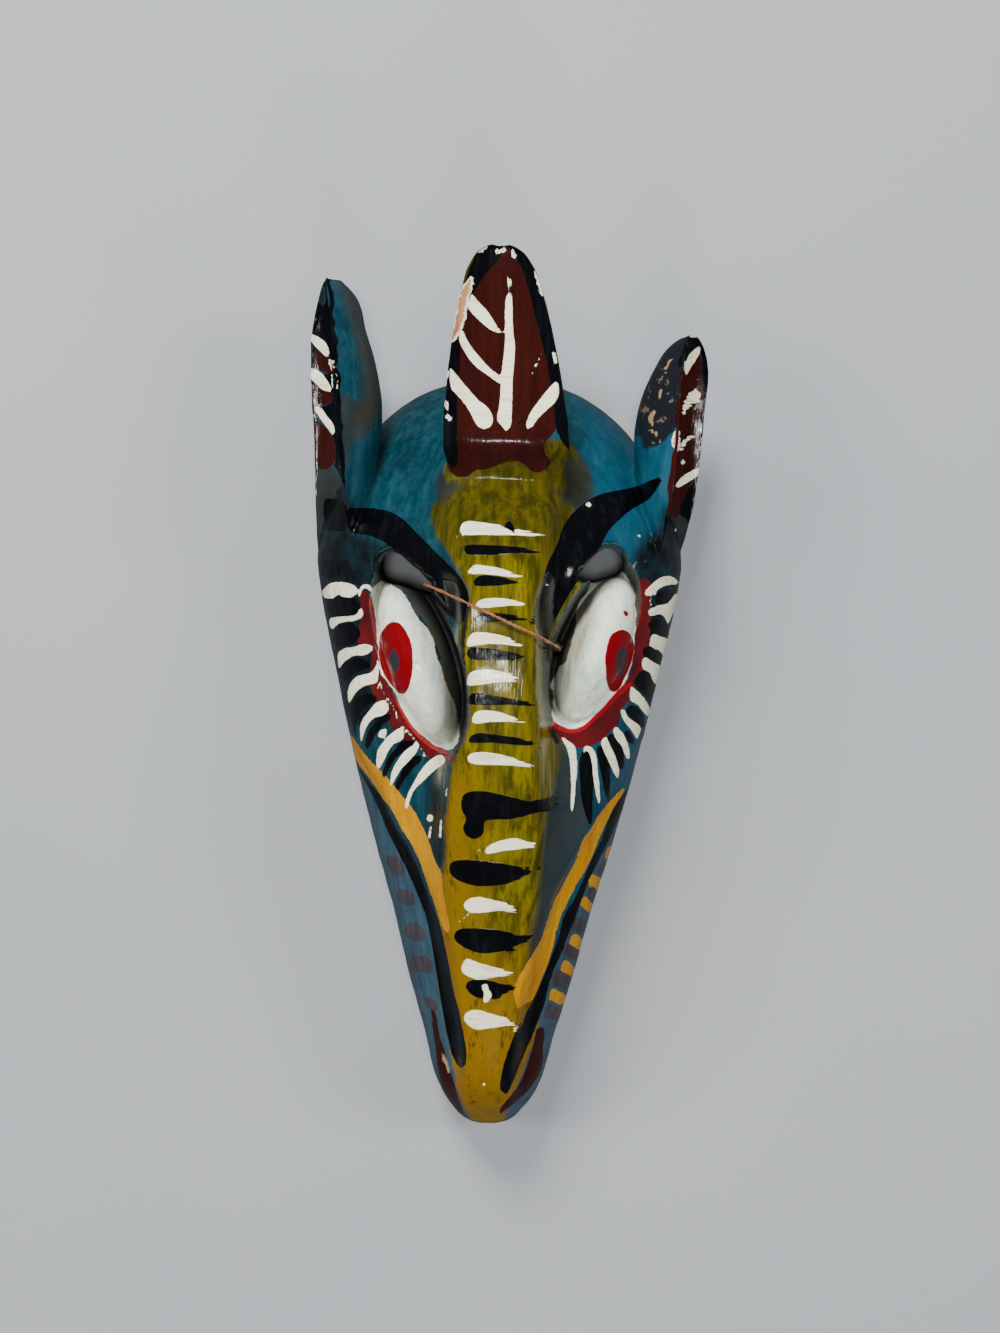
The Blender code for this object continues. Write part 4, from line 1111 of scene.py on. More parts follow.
def paint_fields(places, normals):
    """Every paint layer's distance field, by name."""
    x, y, z = places.T
    u, v, below = paint_plane(places)
    px, py = picture_points(u, v)
    p = Painter(px, py)
    count = len(x)
    head = face_height(x, y)
    half = outline(np.clip(y, 1.0, CROWN - 1))
    on_horn = (((z > head + 0.4) & (y > HORN_FOOT)) | (y > CROWN - 0.2)) & (np.abs(x) < HORN_ZONE)
    ear_x, ear_y, ear_z = EAR_ZONE
    ears = {}
    for side, stations, length in ((-1, LEFT_EAR, LEFT_EAR_LENGTH), (1, RIGHT_EAR, RIGHT_EAR_LENGTH)):
        depth = leaf_depth(places, stations, side, length)
        outside = (np.abs(x - HEAD_LEAN) > half - 0.3) | (z > head + 0.5) | (y > CROWN)
        ears[side] = (depth, outside & (x * side > ear_x) & (y > EAR_FOOT + ear_y) & (z > ear_z))
    on_ear = ears[-1][1] | ears[1][1]
    on_face = ~on_horn & ~on_ear
    front = normals[:, 2] > -0.2

    def joined(*patches):
        field = np.full(count, FAR)
        for patch in patches:
            field = np.minimum(field, p.patch(patch))
        return field

    def strokes(*lines):
        field = np.full(count, FAR)
        for line in lines:
            p.stroke(field, line)
        return field

    def shade(patches, fade):
        """A soft-edged share, from 0 outside to 1 inside."""
        return ease(fade, -fade, joined(*patches))

    # Raw wood: the hollow, the back rim and the bare ends of the sockets
    inner = (z < head - 4.0) & (np.abs(x - HEAD_LEAN) < half - 2.0) & ~on_horn & ~on_ear
    sockets = np.minimum(socket_share(x, y, LEFT_EYE, SOCKET_MARGIN + 2.5)[0],
                         socket_share(x, y, RIGHT_EYE, SOCKET_MARGIN + 2.5)[0])
    socket_low = np.minimum(*(socket_share(x - 3.0 * s, y - 3.0, e, SOCKET_MARGIN + 1.5)[0]
                              for s, e in ((1, LEFT_EYE), (-1, RIGHT_EYE))))
    in_socket = (socket_low < 1.06) & (z > EYE_FLOOR - 8) & (normals[:, 2] > -0.3)
    by_slot = np.full(count, FAR)
    for ends in (LEFT_SLOT, RIGHT_SLOT):
        for end in ends:
            by_slot = np.minimum(by_slot, np.hypot(x - end[0], y - end[1]))
    raw = inner & ~in_socket & ((by_slot > 9.0) | (normals[:, 2] < -0.5))
    raw |= (z < 0.4) & (normals[:, 2] < -0.3)
    f = {"raw": raw.astype(float), "bare": (in_socket & (z < head - 1.5)).astype(float)}
    # Strokes on the face
    white = np.minimum(joined(*WHITE_BARS, *WHITE_LASHES), strokes(*WHITE_TICKS, *GESSO_LINES))
    black = np.minimum(joined(*BLACK_BARS, *BLACK_LASHES, LEFT_MOUTH, RIGHT_MOUTH), strokes(*BAR_TAILS))
    brows = np.where(on_horn | (below > BROW_DROP), FAR, joined(LEFT_BROW, RIGHT_BROW, *TEMPLE_PATCHES))
    f["white"] = np.where(on_face, white, FAR)
    f["black"] = np.minimum(np.where(on_face, black, FAR), brows)
    worn_from, worn_to = WORN_RUNS
    f["dry"] = np.where(px > WORN_EDGE, 0.7 * ease(*worn_from, py) * ease(*worn_to, py), 0.0)
    for bar in WHITE_BARS + BLACK_BARS:
        xs, ys = zip(*bar)
        share = (px - min(xs)) / (max(xs) - min(xs))
        near = (py > min(ys) - 2) & (py < max(ys) + 2) & (share > 0.45) & (share < 1.1)
        f["dry"] = np.where(near, np.maximum(f["dry"], ease(0.55, 1.0, share)), f["dry"])
    f["yellow"] = joined(LEFT_LIP, RIGHT_LIP, *YELLOW_SPOTS)
    f["grey"] = joined(*GREY_SPOTS)
    f["maroon"] = joined(LEFT_GUM, RIGHT_GUM)
    f["lid"] = np.where(on_face, joined(LEFT_LID, RIGHT_LID), FAR)
    f["red"] = strokes(*LID_LINES)
    f["edge"] = strokes(*SOCKET_EDGES)
    f["tint"] = shade(EYE_TINTS, 2.0)
    f["eye"] = joined(*EYE_WHITES)
    f["iris"] = joined(*IRISES)
    f["pupil"] = joined(*PUPILS)
    f["mustard"] = np.where(on_face | (on_horn & front & (py > MUSTARD_TOP)), joined(MUSTARD), FAR)
    f["jaw"] = np.where(on_face, joined(LEFT_JAW, RIGHT_JAW), FAR)
    # The horn: olive behind, black rims, a dark red scoop and white veins
    f["horn"] = (on_horn & ((py < OLIVE_TO) | (px < OLIVE_LEFT_OF))).astype(float)
    near_horn = on_face & (y > HORN_FOOT - NEAR_HORN) & (z > NEAR_HORN_HEIGHT)
    scoop = np.where((on_horn & front) | near_horn, joined(HORN_RED), FAR)
    f["maroon"] = np.minimum(f["maroon"], scoop)
    rims = np.where(front & (on_horn | near_horn), joined(HORN_BLACK), FAR)
    veins = np.where(on_horn & front, np.minimum(joined(*HORN_VEINS), strokes(*VEIN_HAIRS)), FAR)
    f["black"] = np.maximum(np.minimum(f["black"], rims), -veins)
    f["white"] = np.minimum(f["white"], veins)
    # The ears: black inside with dark red places and white stripes, blue, brown or black behind
    reds = joined(*EAR_REDS)
    greys = joined(*EAR_GREYS)
    stripes = np.minimum(joined(*EAR_STRIPES), strokes(*WHITE_TICKS))
    f["ear_back"] = np.full(count, FAR)
    for side in (-1, 1):
        depth, on = ears[side]
        inside = np.where(on, depth + 0.2, FAR)
        marks = np.maximum(inside, stripes)
        f["maroon"] = np.minimum(f["maroon"], np.maximum(inside, reds))
        ground = np.maximum(np.maximum(inside, -reds), -greys)
        f["black"] = np.maximum(np.minimum(f["black"], ground), -marks)
        f["white"] = np.minimum(f["white"], marks)
        if side > 0:
            f["ear_back"] = np.where(on & (depth > -1.5), joined(EAR_BLACK), FAR)
    # The blot on the top bar and the daub on the lowest
    blot, daub = joined(BLOT), joined(DAUB)
    f["white"] = np.minimum(np.maximum(f["white"], -blot), daub)
    f["black"] = np.maximum(np.minimum(f["black"], blot), -daub)
    # Worn spots, chips, and the soft shades, among them painted shade in creases and sockets
    f["tan"] = strokes(*TAN_SPOTS)
    f["chip"] = np.where((on_horn | on_ear) & (normals[:, 2] > -0.5), strokes(*CHIPS), FAR)
    f["dark"] = shade(DARK_GROUND, 3.0) * (on_face | (py > TEMPLE_TOP))
    # Grey smears, and painted shade in the creases beside the bridge and the horn's foot
    f["smear"] = shade(GREY_SMEAR_AND_SHADE, 2.0) * (on_face | (px < LEFT_EAR_RIM)) + on_ear * ease(2.0, -2.0, greys)
    f["mud"] = shade(MUD, 3.0) * on_ear
    # Painted shade in the eye sockets: darker the deeper a point lies under the face
    f["soot"] = ease(1.16, 0.98, sockets) * ease(head - 1.0, head - 9.0, z)
    return f


def store_fields(mesh, fields):
    for name, values in fields.items():
        layer = mesh.attributes.new("paint_" + name, "FLOAT", "POINT")
        layer.data.foreach_set("value", np.asarray(values, np.float32))


# Materials; coloured paints are this much darker than they look, for the light on them is strong
PAINT_DEPTH = 0.76


def linear(colour, depth=PAINT_DEPTH):
    """A colour as it looks, 0 to 255, to the values that a shader takes, darker by a share."""
    out = []
    for c in colour:
        c = c / 255.0
        out.append(depth * (c / 12.92 if c <= 0.04045 else ((c + 0.055) / 1.055) ** 2.4))
    return (*out, 1.0)


class Nodes:
    """Short calls that add nodes to one tree."""

    def __init__(self, tree):
        self.tree = tree

    def put(self, socket, value):
        if isinstance(value, bpy.types.NodeSocket):
            self.tree.links.new(value, socket)
        else:
            socket.default_value = value

    def add(self, kind, **values):
        node = self.tree.nodes.new(kind)
        for name, value in values.items():
            self.put(node.inputs[name], value)
        return node

    def vector(self, operation, a, b):
        node = self.tree.nodes.new("ShaderNodeVectorMath")
        node.operation = operation
        self.put(node.inputs[0], a)
        self.put(node.inputs["Scale" if operation == "SCALE" else 1], b)
        return node.outputs[0]

    def math(self, operation, a, b=0.0, clamp=False):
        node = self.tree.nodes.new("ShaderNodeMath")
        node.operation = operation
        node.use_clamp = clamp
        self.put(node.inputs[0], a)
        self.put(node.inputs[1], b)
        return node.outputs[0]

    def mix(self, factor, a, b):
        node = self.tree.nodes.new("ShaderNodeMix")
        node.data_type = "RGBA"
        self.put(node.inputs[0], factor)
        self.put(node.inputs[6], a)
        self.put(node.inputs[7], b)
        return node.outputs[2]

    def range(self, value, low, high, to_low=0.0, to_high=1.0, smooth=False):
        node = self.tree.nodes.new("ShaderNodeMapRange")
        if smooth:
            node.interpolation_type = "SMOOTHSTEP"
        self.put(node.inputs[0], value)
        node.inputs[1].default_value = low
        node.inputs[2].default_value = high
        node.inputs[3].default_value = to_low
        node.inputs[4].default_value = to_high
        return node.outputs[0]

    def tone(self, pattern, low, high, first, second, depth=None):
        """Two colours, mixed by a pattern between two of its values."""
        depth = PAINT_DEPTH if depth is None else depth
        return self.mix(self.range(pattern, low, high), linear(first, depth), linear(second, depth))

    def attribute(self, name):
        node = self.tree.nodes.new("ShaderNodeAttribute")
        node.attribute_name = name
        return node.outputs["Fac"]

    def noise(self, vector, scale, detail=3.0, roughness=0.55, stretch=(1.0, 1.0, 1.0), turn=0.0):
        place = self.tree.nodes.new("ShaderNodeMapping")
        place.inputs["Scale"].default_value = stretch
        place.inputs["Rotation"].default_value = (0.0, 0.0, turn)
        self.tree.links.new(vector, place.inputs["Vector"])
        node = self.tree.nodes.new("ShaderNodeTexNoise")
        node.inputs["Scale"].default_value = scale
        node.inputs["Detail"].default_value = detail
        node.inputs["Roughness"].default_value = roughness
        self.tree.links.new(place.outputs[0], node.inputs["Vector"])
        return node.outputs[0]

    def coordinates(self):
        node = self.tree.nodes.new("ShaderNodeTexCoord")
        return node.outputs["Object"]


def brush_edge_group():
    """Turns a distance into a mask with a hand-brushed edge and dry bristle ends."""
    group = bpy.data.node_groups.get("Brush edge")
    if group:
        return group
    group = bpy.data.node_groups.new("Brush edge", "ShaderNodeTree")
    for name, default in (("Distance", 1.0), ("Wobble", 0.5), ("Streak", 0.0), ("Softness", 0.2)):
        socket = group.interface.new_socket(name, in_out="INPUT", socket_type="NodeSocketFloat")
        socket.default_value = default
    group.interface.new_socket("Mask", in_out="OUTPUT", socket_type="NodeSocketFloat")
    n = Nodes(group)
    source = group.nodes.new("NodeGroupInput")
    target = group.nodes.new("NodeGroupOutput")
    place = n.coordinates()
    wobble = n.math("SUBTRACT", n.noise(place, 420.0, 2.0), 0.5)
    slow = n.math("SUBTRACT", n.noise(place, 110.0, 1.0), 0.5)
    wobble = n.math("ADD", wobble, slow)
    bristle = n.math("SUBTRACT", n.noise(place, 900.0, 1.0, 0.5, (0.06, 1.0, 0.4)), 0.42)
    moved = n.math("MULTIPLY", wobble, source.outputs["Wobble"])
    dry = n.math("MULTIPLY", bristle, source.outputs["Streak"])
    total = n.math("ADD", n.math("ADD", source.outputs["Distance"], moved), dry)
    share = n.math("DIVIDE", total, source.outputs["Softness"])
    mask = n.math("SUBTRACT", 0.5, share, clamp=True)
    group.links.new(mask, target.inputs["Mask"])
    return group


def grain_group():
    """Wood grain along Y: a colour share and a height share."""
    group = bpy.data.node_groups.get("Wood grain")
    if group:
        return group
    group = bpy.data.node_groups.new("Wood grain", "ShaderNodeTree")
    group.interface.new_socket("Size", in_out="INPUT", socket_type="NodeSocketFloat").default_value = 1.0
    group.interface.new_socket("Share", in_out="OUTPUT", socket_type="NodeSocketFloat")
    n = Nodes(group)
    source = group.nodes.new("NodeGroupInput")
    target = group.nodes.new("NodeGroupOutput")
    scaled = group.nodes.new("ShaderNodeVectorMath")
    scaled.operation = "SCALE"
    group.links.new(n.coordinates(), scaled.inputs[0])
    group.links.new(source.outputs["Size"], scaled.inputs["Scale"])
    fine = n.noise(scaled.outputs[0], 900.0, 3.0, 0.6, (1.0, 0.05, 1.0))
    broad = n.noise(scaled.outputs[0], 160.0, 2.0, 0.5, (1.0, 0.08, 1.0))
    share = n.math("ADD", n.math("MULTIPLY", fine, 0.6), n.math("MULTIPLY", broad, 0.4))
    group.links.new(share, target.inputs["Share"])
    return group


def use_group(n, group, **values):
    node = n.tree.nodes.new("ShaderNodeGroup")
    node.node_tree = group
    for name, value in values.items():
        n.put(node.inputs[name], value)
    return node.outputs[0]


def new_material(name):
    material = bpy.data.materials.new(name)
    material.use_nodes = True
    shader = material.node_tree.nodes["Principled BSDF"]
    return material, Nodes(material.node_tree), shader


def painted_wood(colours):
    material, n, shader = new_material("painted_wood")
    place = n.coordinates()
    grain = use_group(n, grain_group(), Size=1.0)
    edge = brush_edge_group()
    dry = n.math("MULTIPLY", n.attribute("paint_dry"), 3.4)

    def layer(name, wobble=0.5, streak=0.35, softness=0.25):
        return use_group(n, edge, Distance=n.attribute("paint_" + name), Wobble=wobble, Streak=streak,
                         Softness=softness)

    cloudy = n.noise(place, 40.0, 4.0, 0.6)
    streaky = n.noise(place, 260.0, 4.0, 0.65, (1.0, 0.10, 1.0))
    # Blue ground, lighter on the right
    side = n.tree.nodes.new("ShaderNodeSeparateXYZ")
    n.tree.links.new(place, side.inputs[0])
    right = n.range(side.outputs[0], -0.01, 0.05, smooth=True)
    teal = n.mix(right, linear(colours.teal), linear(colours.blue))
    ground = n.mix(n.range(streaky, 0.40, 0.75), teal, n.mix(0.35, teal, linear((70, 120, 138))))
    ground = n.mix(n.range(cloudy, 0.50, 0.72, 0.0, 0.6), ground, linear((14, 34, 38)))
    # Lighter blue jaws
    jaw_blue = n.tone(streaky, 0.3, 0.8, (44, 70, 84), (72, 104, 120))
    colour = n.mix(layer("jaw", 0.5, 0.2, 0.5), ground, jaw_blue)
    # Olive and mustard bridge
    olive = n.tone(streaky, 0.38, 0.62, (66, 64, 8), colours.mustard)
    leftward = n.math("ADD", side.outputs[0], n.math("MULTIPLY", cloudy, 0.02))
    warm = n.mix(n.range(leftward, 0.012, -0.008, smooth=True), olive, linear((138, 108, 6)))
    warm = n.mix(n.range(side.outputs[1], -0.012, -0.036, smooth=True), olive, warm)
    tipward = n.range(side.outputs[1], -0.07, -0.14, smooth=True)
    warm = n.mix(n.math("MULTIPLY", tipward, 0.75), warm, linear((158, 114, 4)))
    warm = n.mix(n.range(grain, 0.54, 0.64, 0.0, 0.65), warm, linear((36, 38, 12)))
    headward = n.range(side.outputs[1], 0.050, 0.072, smooth=True)
    warm = n.mix(n.math("MULTIPLY", headward, 0.6), warm, linear((52, 48, 8)))
    colour = n.mix(layer("mustard", 2.2, 0.8, 1.6), colour, warm)
    colour = n.mix(n.attribute("paint_horn"), colour, n.mix(0.35, olive, linear((40, 50, 30))))
    # Dark temples, grey smears with painted shade in the creases, and a brown wash
    patchy = n.range(n.noise(place, 120.0, 3.0, 0.6), 0.30, 0.62, 0.6, 1.0)
    colour = n.mix(n.math("MULTIPLY", n.attribute("paint_dark"), patchy), colour, linear((16, 18, 20)))
    smear = n.math("MULTIPLY", n.attribute("paint_smear"), n.range(streaky, 0.25, 0.6, 0.6, 0.95))
    colour = n.mix(smear, colour, n.tone(cloudy, 0.35, 0.7, (38, 42, 42), (64, 68, 64)))
    mud = n.math("MULTIPLY", n.attribute("paint_mud"), patchy)
    colour = n.mix(mud, colour, linear((62, 56, 46)))
    back = layer("ear_back", 2.5, 0.6, 0.8)
    worn = n.range(n.noise(place, 160.0, 3.0, 0.7), 0.60, 0.64)
    black_back = n.mix(worn, linear((28, 32, 38)), linear((110, 95, 78)))
    colour = n.mix(back, colour, black_back)
    # Dark red and the bright lips
    maroon = n.tone(streaky, 0.3, 0.7, colours.maroon, (64, 20, 14))
    colour = n.mix(layer("maroon", 0.7, 0.3, 0.3), colour, maroon)
    yellow = n.tone(streaky, 0.35, 0.7, colours.lip, (196, 126, 2))
    colour = n.mix(layer("yellow", 0.7, 0.5, 0.3), colour, yellow)
    grey = n.tone(streaky, 0.35, 0.7, (58, 56, 60), (84, 80, 84))
    colour = n.mix(layer("grey", 0.9, 0.4, 0.4), colour, grey)
    lid = n.tone(cloudy, 0.35, 0.65, (124, 30, 34), (78, 22, 24))
    colour = n.mix(layer("lid", 0.7, 0.3, 0.3), colour, lid)
    colour = n.mix(layer("tan", 1.2, 0.3, 0.3), colour, linear((170, 140, 104)))
    # Bare socket wood, stained with old paint
    bare = n.tone(cloudy, 0.4, 0.65, (98, 90, 76), (50, 74, 78))
    colour = n.mix(n.attribute("paint_bare"), colour, bare)
    colour = n.mix(layer("edge", 1.0, 0.3, 0.8), colour, linear((34, 36, 32)))
    # Eyes
    brushed = n.noise(place, 330.0, 4.0, 0.7, (1.0, 0.16, 1.0), 0.35)
    white = n.tone(brushed, 0.30, 0.62, (196, 218, 210), (255, 255, 232), 1.0)
    tint = n.math("MULTIPLY", n.attribute("paint_tint"), n.range(brushed, 0.35, 0.6, 0.2, 0.8))
    white = n.mix(tint, white, linear((176, 160, 128)))
    colour = n.mix(layer("eye", 1.2, 0.5, 0.4), colour, white)
    colour = n.mix(layer("red", 0.5, 0.3, 0.3), colour, linear((176, 22, 34)))
    iris = n.tone(cloudy, 0.4, 0.7, colours.iris, (130, 8, 18))
    colour = n.mix(layer("iris", 0.5, 0.2, 0.25), colour, iris)
    colour = n.mix(layer("pupil", 0.8, 0.3, 0.4), colour, linear((56, 54, 60)))
    # Black and white strokes
    black = n.mix(n.range(streaky, 0.5, 0.8, 0.0, 0.35), linear(colours.black), linear((44, 50, 56)))
    black_mask = layer("black", 0.45, n.math("ADD", dry, 0.25), 0.22)
    colour = n.mix(black_mask, colour, black)
    cream = n.mix(n.range(n.noise(place, 500.0, 3.0, 0.6, (0.15, 1.0, 1.0)), 0.50, 0.66, 0.0, 0.4),
                  linear(colours.white, 1.0), linear((176, 170, 132), 1.0))
    white_mask = layer("white", 0.45, n.math("ADD", dry, 0.25), 0.22)
    colour = n.mix(white_mask, colour, cream)
    # Painted shade in the sockets, darker the deeper under the face; dark specks everywhere
    soot = n.math("MULTIPLY", n.attribute("paint_soot"), 0.4)
    colour = n.mix(soot, colour, linear((34, 40, 40)))
    specks = n.range(n.noise(place, 700.0, 2.0, 0.5), 0.70, 0.73, 0.0, 0.6)
    colour = n.mix(specks, colour, linear((24, 26, 22)))
    # Chips: white gesso round pale wood
    ragged = n.math("MULTIPLY", n.math("SUBTRACT", n.noise(place, 600.0, 3.0, 0.6), 0.5), 2.6)
    chip = n.math("ADD", n.attribute("paint_chip"), ragged)
    gesso = n.math("SUBTRACT", 0.5, n.math("DIVIDE", n.math("SUBTRACT", chip, 0.35), 0.2), clamp=True)
    wood_spot = n.math("SUBTRACT", 0.5, n.math("DIVIDE", n.math("ADD", chip, 0.45), 0.2), clamp=True)
    colour = n.mix(gesso, colour, linear((240, 234, 218), 1.0))
    pale = n.tone(grain, 0.4, 0.65, (220, 164, 112), (184, 124, 78))
    colour = n.mix(wood_spot, colour, pale)
    # Raw wood in the hollow
    raw = n.tone(grain, 0.35, 0.68, (176, 130, 84), (116, 78, 46))
    raw_mask = n.attribute("paint_raw")
    colour = n.mix(raw_mask, colour, raw)
    n.tree.links.new(colour, shader.inputs["Base Color"])
    matt = n.math("MAXIMUM", n.math("MAXIMUM", raw_mask, wood_spot),
                  n.math("MULTIPLY", n.attribute("paint_bare"), 0.8))
    gloss = n.range(n.noise(place, 300.0, 3.0, 0.6), 0.3, 0.7, 0.10, 0.24)
    rough = n.tree.nodes.new("ShaderNodeMix")
    n.put(rough.inputs[0], matt)
    n.put(rough.inputs[2], gloss)
    n.put(rough.inputs[3], 0.8)
    n.tree.links.new(rough.outputs[0], shader.inputs["Roughness"])
    shader.inputs["Specular IOR Level"].default_value = 0.45
    # Relief: thick strokes, brush marks and grain under the paint
    height = n.math("MULTIPLY", n.math("ADD", black_mask, white_mask), 0.5)
    height = n.math("ADD", height, n.math("MULTIPLY", streaky, 0.5))
    height = n.math("ADD", height, n.math("MULTIPLY", grain, 1.1))
    height = n.math("ADD", height, n.math("MULTIPLY", n.noise(place, 90.0, 2.0), 1.2))
    height = n.math("SUBTRACT", height, n.math("MULTIPLY", wood_spot, 1.4))
    bump = n.tree.nodes.new("ShaderNodeBump")
    bump.inputs["Strength"].default_value = 0.5
    bump.inputs["Distance"].default_value = 0.0004
    n.tree.links.new(height, bump.inputs["Height"])
    n.tree.links.new(bump.outputs[0], shader.inputs["Normal"])
    return material


def copper_wire(colours):
    material, n, shader = new_material("copper_wire")
    place = n.coordinates()
    dull = n.noise(place, 400.0, 3.0)
    colour = n.tone(dull, 0.35, 0.7, colours.copper, (150, 92, 62), 1.0)
    n.tree.links.new(colour, shader.inputs["Base Color"])
    n.tree.links.new(n.range(dull, 0.3, 0.7, 0.28, 0.5), shader.inputs["Roughness"])
    shader.inputs["Metallic"].default_value = 0.35
    return material


def floor_paint():
    material, n, shader = new_material("floor_paint")
    colour = n.tone(n.noise(n.coordinates(), 3.0, 2.0), 0.3, 0.7, (186, 191, 195), (192, 196, 200))
    n.tree.links.new(colour, shader.inputs["Base Color"])
    shader.inputs["Roughness"].default_value = 0.75
    return material


def wire_path(pitch):
    """Points of the wire a small step apart, and how far its strands have turned at each."""
    route = np.array(WIRE_ROUTE, float)
    run = np.concatenate([[0.0], np.cumsum(np.linalg.norm(np.diff(route, axis=0), axis=1))])
    corners = np.linspace(0.0, run[-1], int(run[-1] / WIRE_STEP) + 1)
    bends = [along(np.column_stack([run, route[:, axis]]), corners) for axis in range(3)]
    places = np.linspace(0.0, run[-1], int(run[-1] / STRAND_STEP))
    points = np.column_stack([np.interp(places, corners, bend) for bend in bends])
    x, _, z = points.T
    close = ease(TWIST_START - 2, TWIST_START, x) * ease(TWIST_END + 2, TWIST_END, x) * (z > 0.9 * FACE_DEPTH)
    rate = 1.0 / LOOSE_PITCH + close * (MM / pitch - 1.0 / LOOSE_PITCH)
    return points, 2 * math.pi * np.cumsum(rate) * (places[1] - places[0])


def twist_group():
    """Two strands wound round a path, by the turn stored on each of its points."""
    group = bpy.data.node_groups.new("Twisted wire", "GeometryNodeTree")
    group.is_modifier = True
    group.interface.new_socket("Path", in_out="INPUT", socket_type="NodeSocketGeometry")
    group.interface.new_socket("Strand radius", in_out="INPUT", socket_type="NodeSocketFloat")
    group.interface.new_socket("Offset", in_out="INPUT", socket_type="NodeSocketFloat")
    group.interface.new_socket("Material", in_out="INPUT", socket_type="NodeSocketMaterial")
    group.interface.new_socket("Wire", in_out="OUTPUT", socket_type="NodeSocketGeometry")
    n = Nodes(group)
    source = n.add("NodeGroupInput")
    curve = n.add("GeometryNodeMeshToCurve", Mesh=source.outputs["Path"])
    circle = n.add("GeometryNodeCurvePrimitiveCircle", Resolution=10, Radius=source.outputs["Strand radius"])
    tangent = n.add("GeometryNodeInputTangent")
    normal = n.add("GeometryNodeInputNormal")
    across = n.vector("CROSS_PRODUCT", tangent.outputs[0], normal.outputs[0])
    turn = n.add("GeometryNodeInputNamedAttribute", Name="turn")
    join = n.add("GeometryNodeJoinGeometry")
    for start in (0.0, math.pi):
        angle = n.math("ADD", turn.outputs["Attribute"], start)
        one = n.vector("SCALE", normal.outputs[0], n.math("COSINE", angle))
        other = n.vector("SCALE", across, n.math("SINE", angle))
        out = n.vector("SCALE", n.vector("ADD", one, other), source.outputs["Offset"])
        moved = n.add("GeometryNodeSetPosition", Geometry=curve.outputs[0], Offset=out)
        strand = n.add("GeometryNodeCurveToMesh", Curve=moved.outputs[0])
        n.put(strand.inputs["Profile Curve"], circle.outputs["Curve"])
        n.put(strand.inputs["Fill Caps"], True)
        group.links.new(strand.outputs[0], join.inputs[0])
    whole = n.add("GeometryNodeRealizeInstances", Geometry=join.outputs[0])
    painted = n.add("GeometryNodeSetMaterial", Geometry=whole.outputs[0], Material=source.outputs["Material"])
    target = n.add("NodeGroupOutput")
    group.links.new(painted.outputs[0], target.inputs[0])
    return group


class MaskSizes(bpy.types.PropertyGroup):
    """Sizes of the finish that a user may change."""

    mark_size: FloatProperty(name="Knife mark size", description="Width of the facets that the knife leaves",
                             default=0.009, min=0.002, max=0.03, unit="LENGTH")
    mark_depth: FloatProperty(name="Knife mark depth", description="Depth of those facets",
                              default=0.00035, min=0.0, max=0.002, unit="LENGTH")
    soften: IntProperty(name="Edge rounding", description="How often the sharp edges are smoothed",
                        default=5, min=0, max=20)
    twist_pitch: FloatProperty(name="Wire twist", description="Length of one turn of the twisted wire",
                               default=0.0045, min=0.001, max=0.02, unit="LENGTH")


def pot(name, description, default):
    return FloatVectorProperty(name=name, description=description, default=default, min=0, max=255)


class MaskColours(bpy.types.PropertyGroup):
    """The paint pots, as the colours look, 0 to 255."""

    teal: pot("Teal", "Blue of the left side", (12, 58, 70))
    blue: pot("Blue", "Blue of the right side", (24, 78, 100))
    mustard: pot("Mustard", "Bridge and snout", (132, 118, 16))
    lip: pot("Lip yellow", "Lips and spots", (226, 164, 6))
    maroon: pot("Dark red", "Horn, ears and lids", (44, 12, 9))
    iris: pot("Iris red", "Irises", (146, 4, 20))
    black: pot("Black", "Brows, bars and lashes", (5, 6, 9))
    white: pot("Cream white", "Bars, lashes and veins", (255, 251, 218))
    copper: pot("Copper", "Tie wire", (196, 132, 96))


class MASK_OT_carved_mask(bpy.types.Operator):
    """Carve the mask as one block and paint it"""

    bl_idname = "mask.carved_mask"
    bl_label = "Carved mask"

    def execute(self, context):
        sizes = context.scene.mask_sizes
        steps = [("UNION", ear_form("left_ear_form", LEFT_EAR, -1, LEFT_EAR_LENGTH)),
                 ("UNION", ear_form("right_ear_form", RIGHT_EAR, 1, RIGHT_EAR_LENGTH)),
                 ("UNION", horn_form())]
        for name, eye in (("left", LEFT_EYE), ("right", RIGHT_EYE)):
            steps.append(("DIFFERENCE", socket_form(name + "_socket_form", eye)))
        for name, eye in (("left", LEFT_EYE), ("right", RIGHT_EYE)):
            steps.append(("UNION", eyeball_form(name + "_eyeball_form", eye)))
        steps.append(("DIFFERENCE", cavity_form()))
        for name, ends in (("left_slot_form", LEFT_SLOT), ("right_slot_form", RIGHT_SLOT)):
            steps.append(("DIFFERENCE", eye_slot(name, ends)))
        radius = WIRE_HOLE_DIAMETER / 2
        turns = np.linspace(0.0, 2 * math.pi, HOLE_STEPS, endpoint=False)
        steps.append(("DIFFERENCE", prism("wire_hole_form", [
            (WIRE_HOLE[0] + radius * math.cos(t), WIRE_HOLE[1] + radius * math.sin(t)) for t in turns])))
        mesh = carve(head_form(), steps)
        soften_edges(mesh, math.radians(SHARP_ANGLE), sizes.soften)
        blend_foot(mesh, sizes.soften * FOOT_ROUNDS)
        knife_marks(mesh, sizes.mark_size / MM, sizes.mark_depth / MM)
        keep_in_box(mesh)
        places, normals = vertex_arrays(mesh)
        store_fields(mesh, paint_fields(places, normals))
        mesh.name = "carved_mask"
        mesh.materials.clear()
        mesh.materials.append(painted_wood(context.scene.mask_colours))
        mesh.shade_smooth()
        piece = bpy.data.objects.new("carved_mask", mesh)
        context.scene.collection.objects.link(piece)
        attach(piece, "root")
        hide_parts("mask")
        return {"FINISHED"}


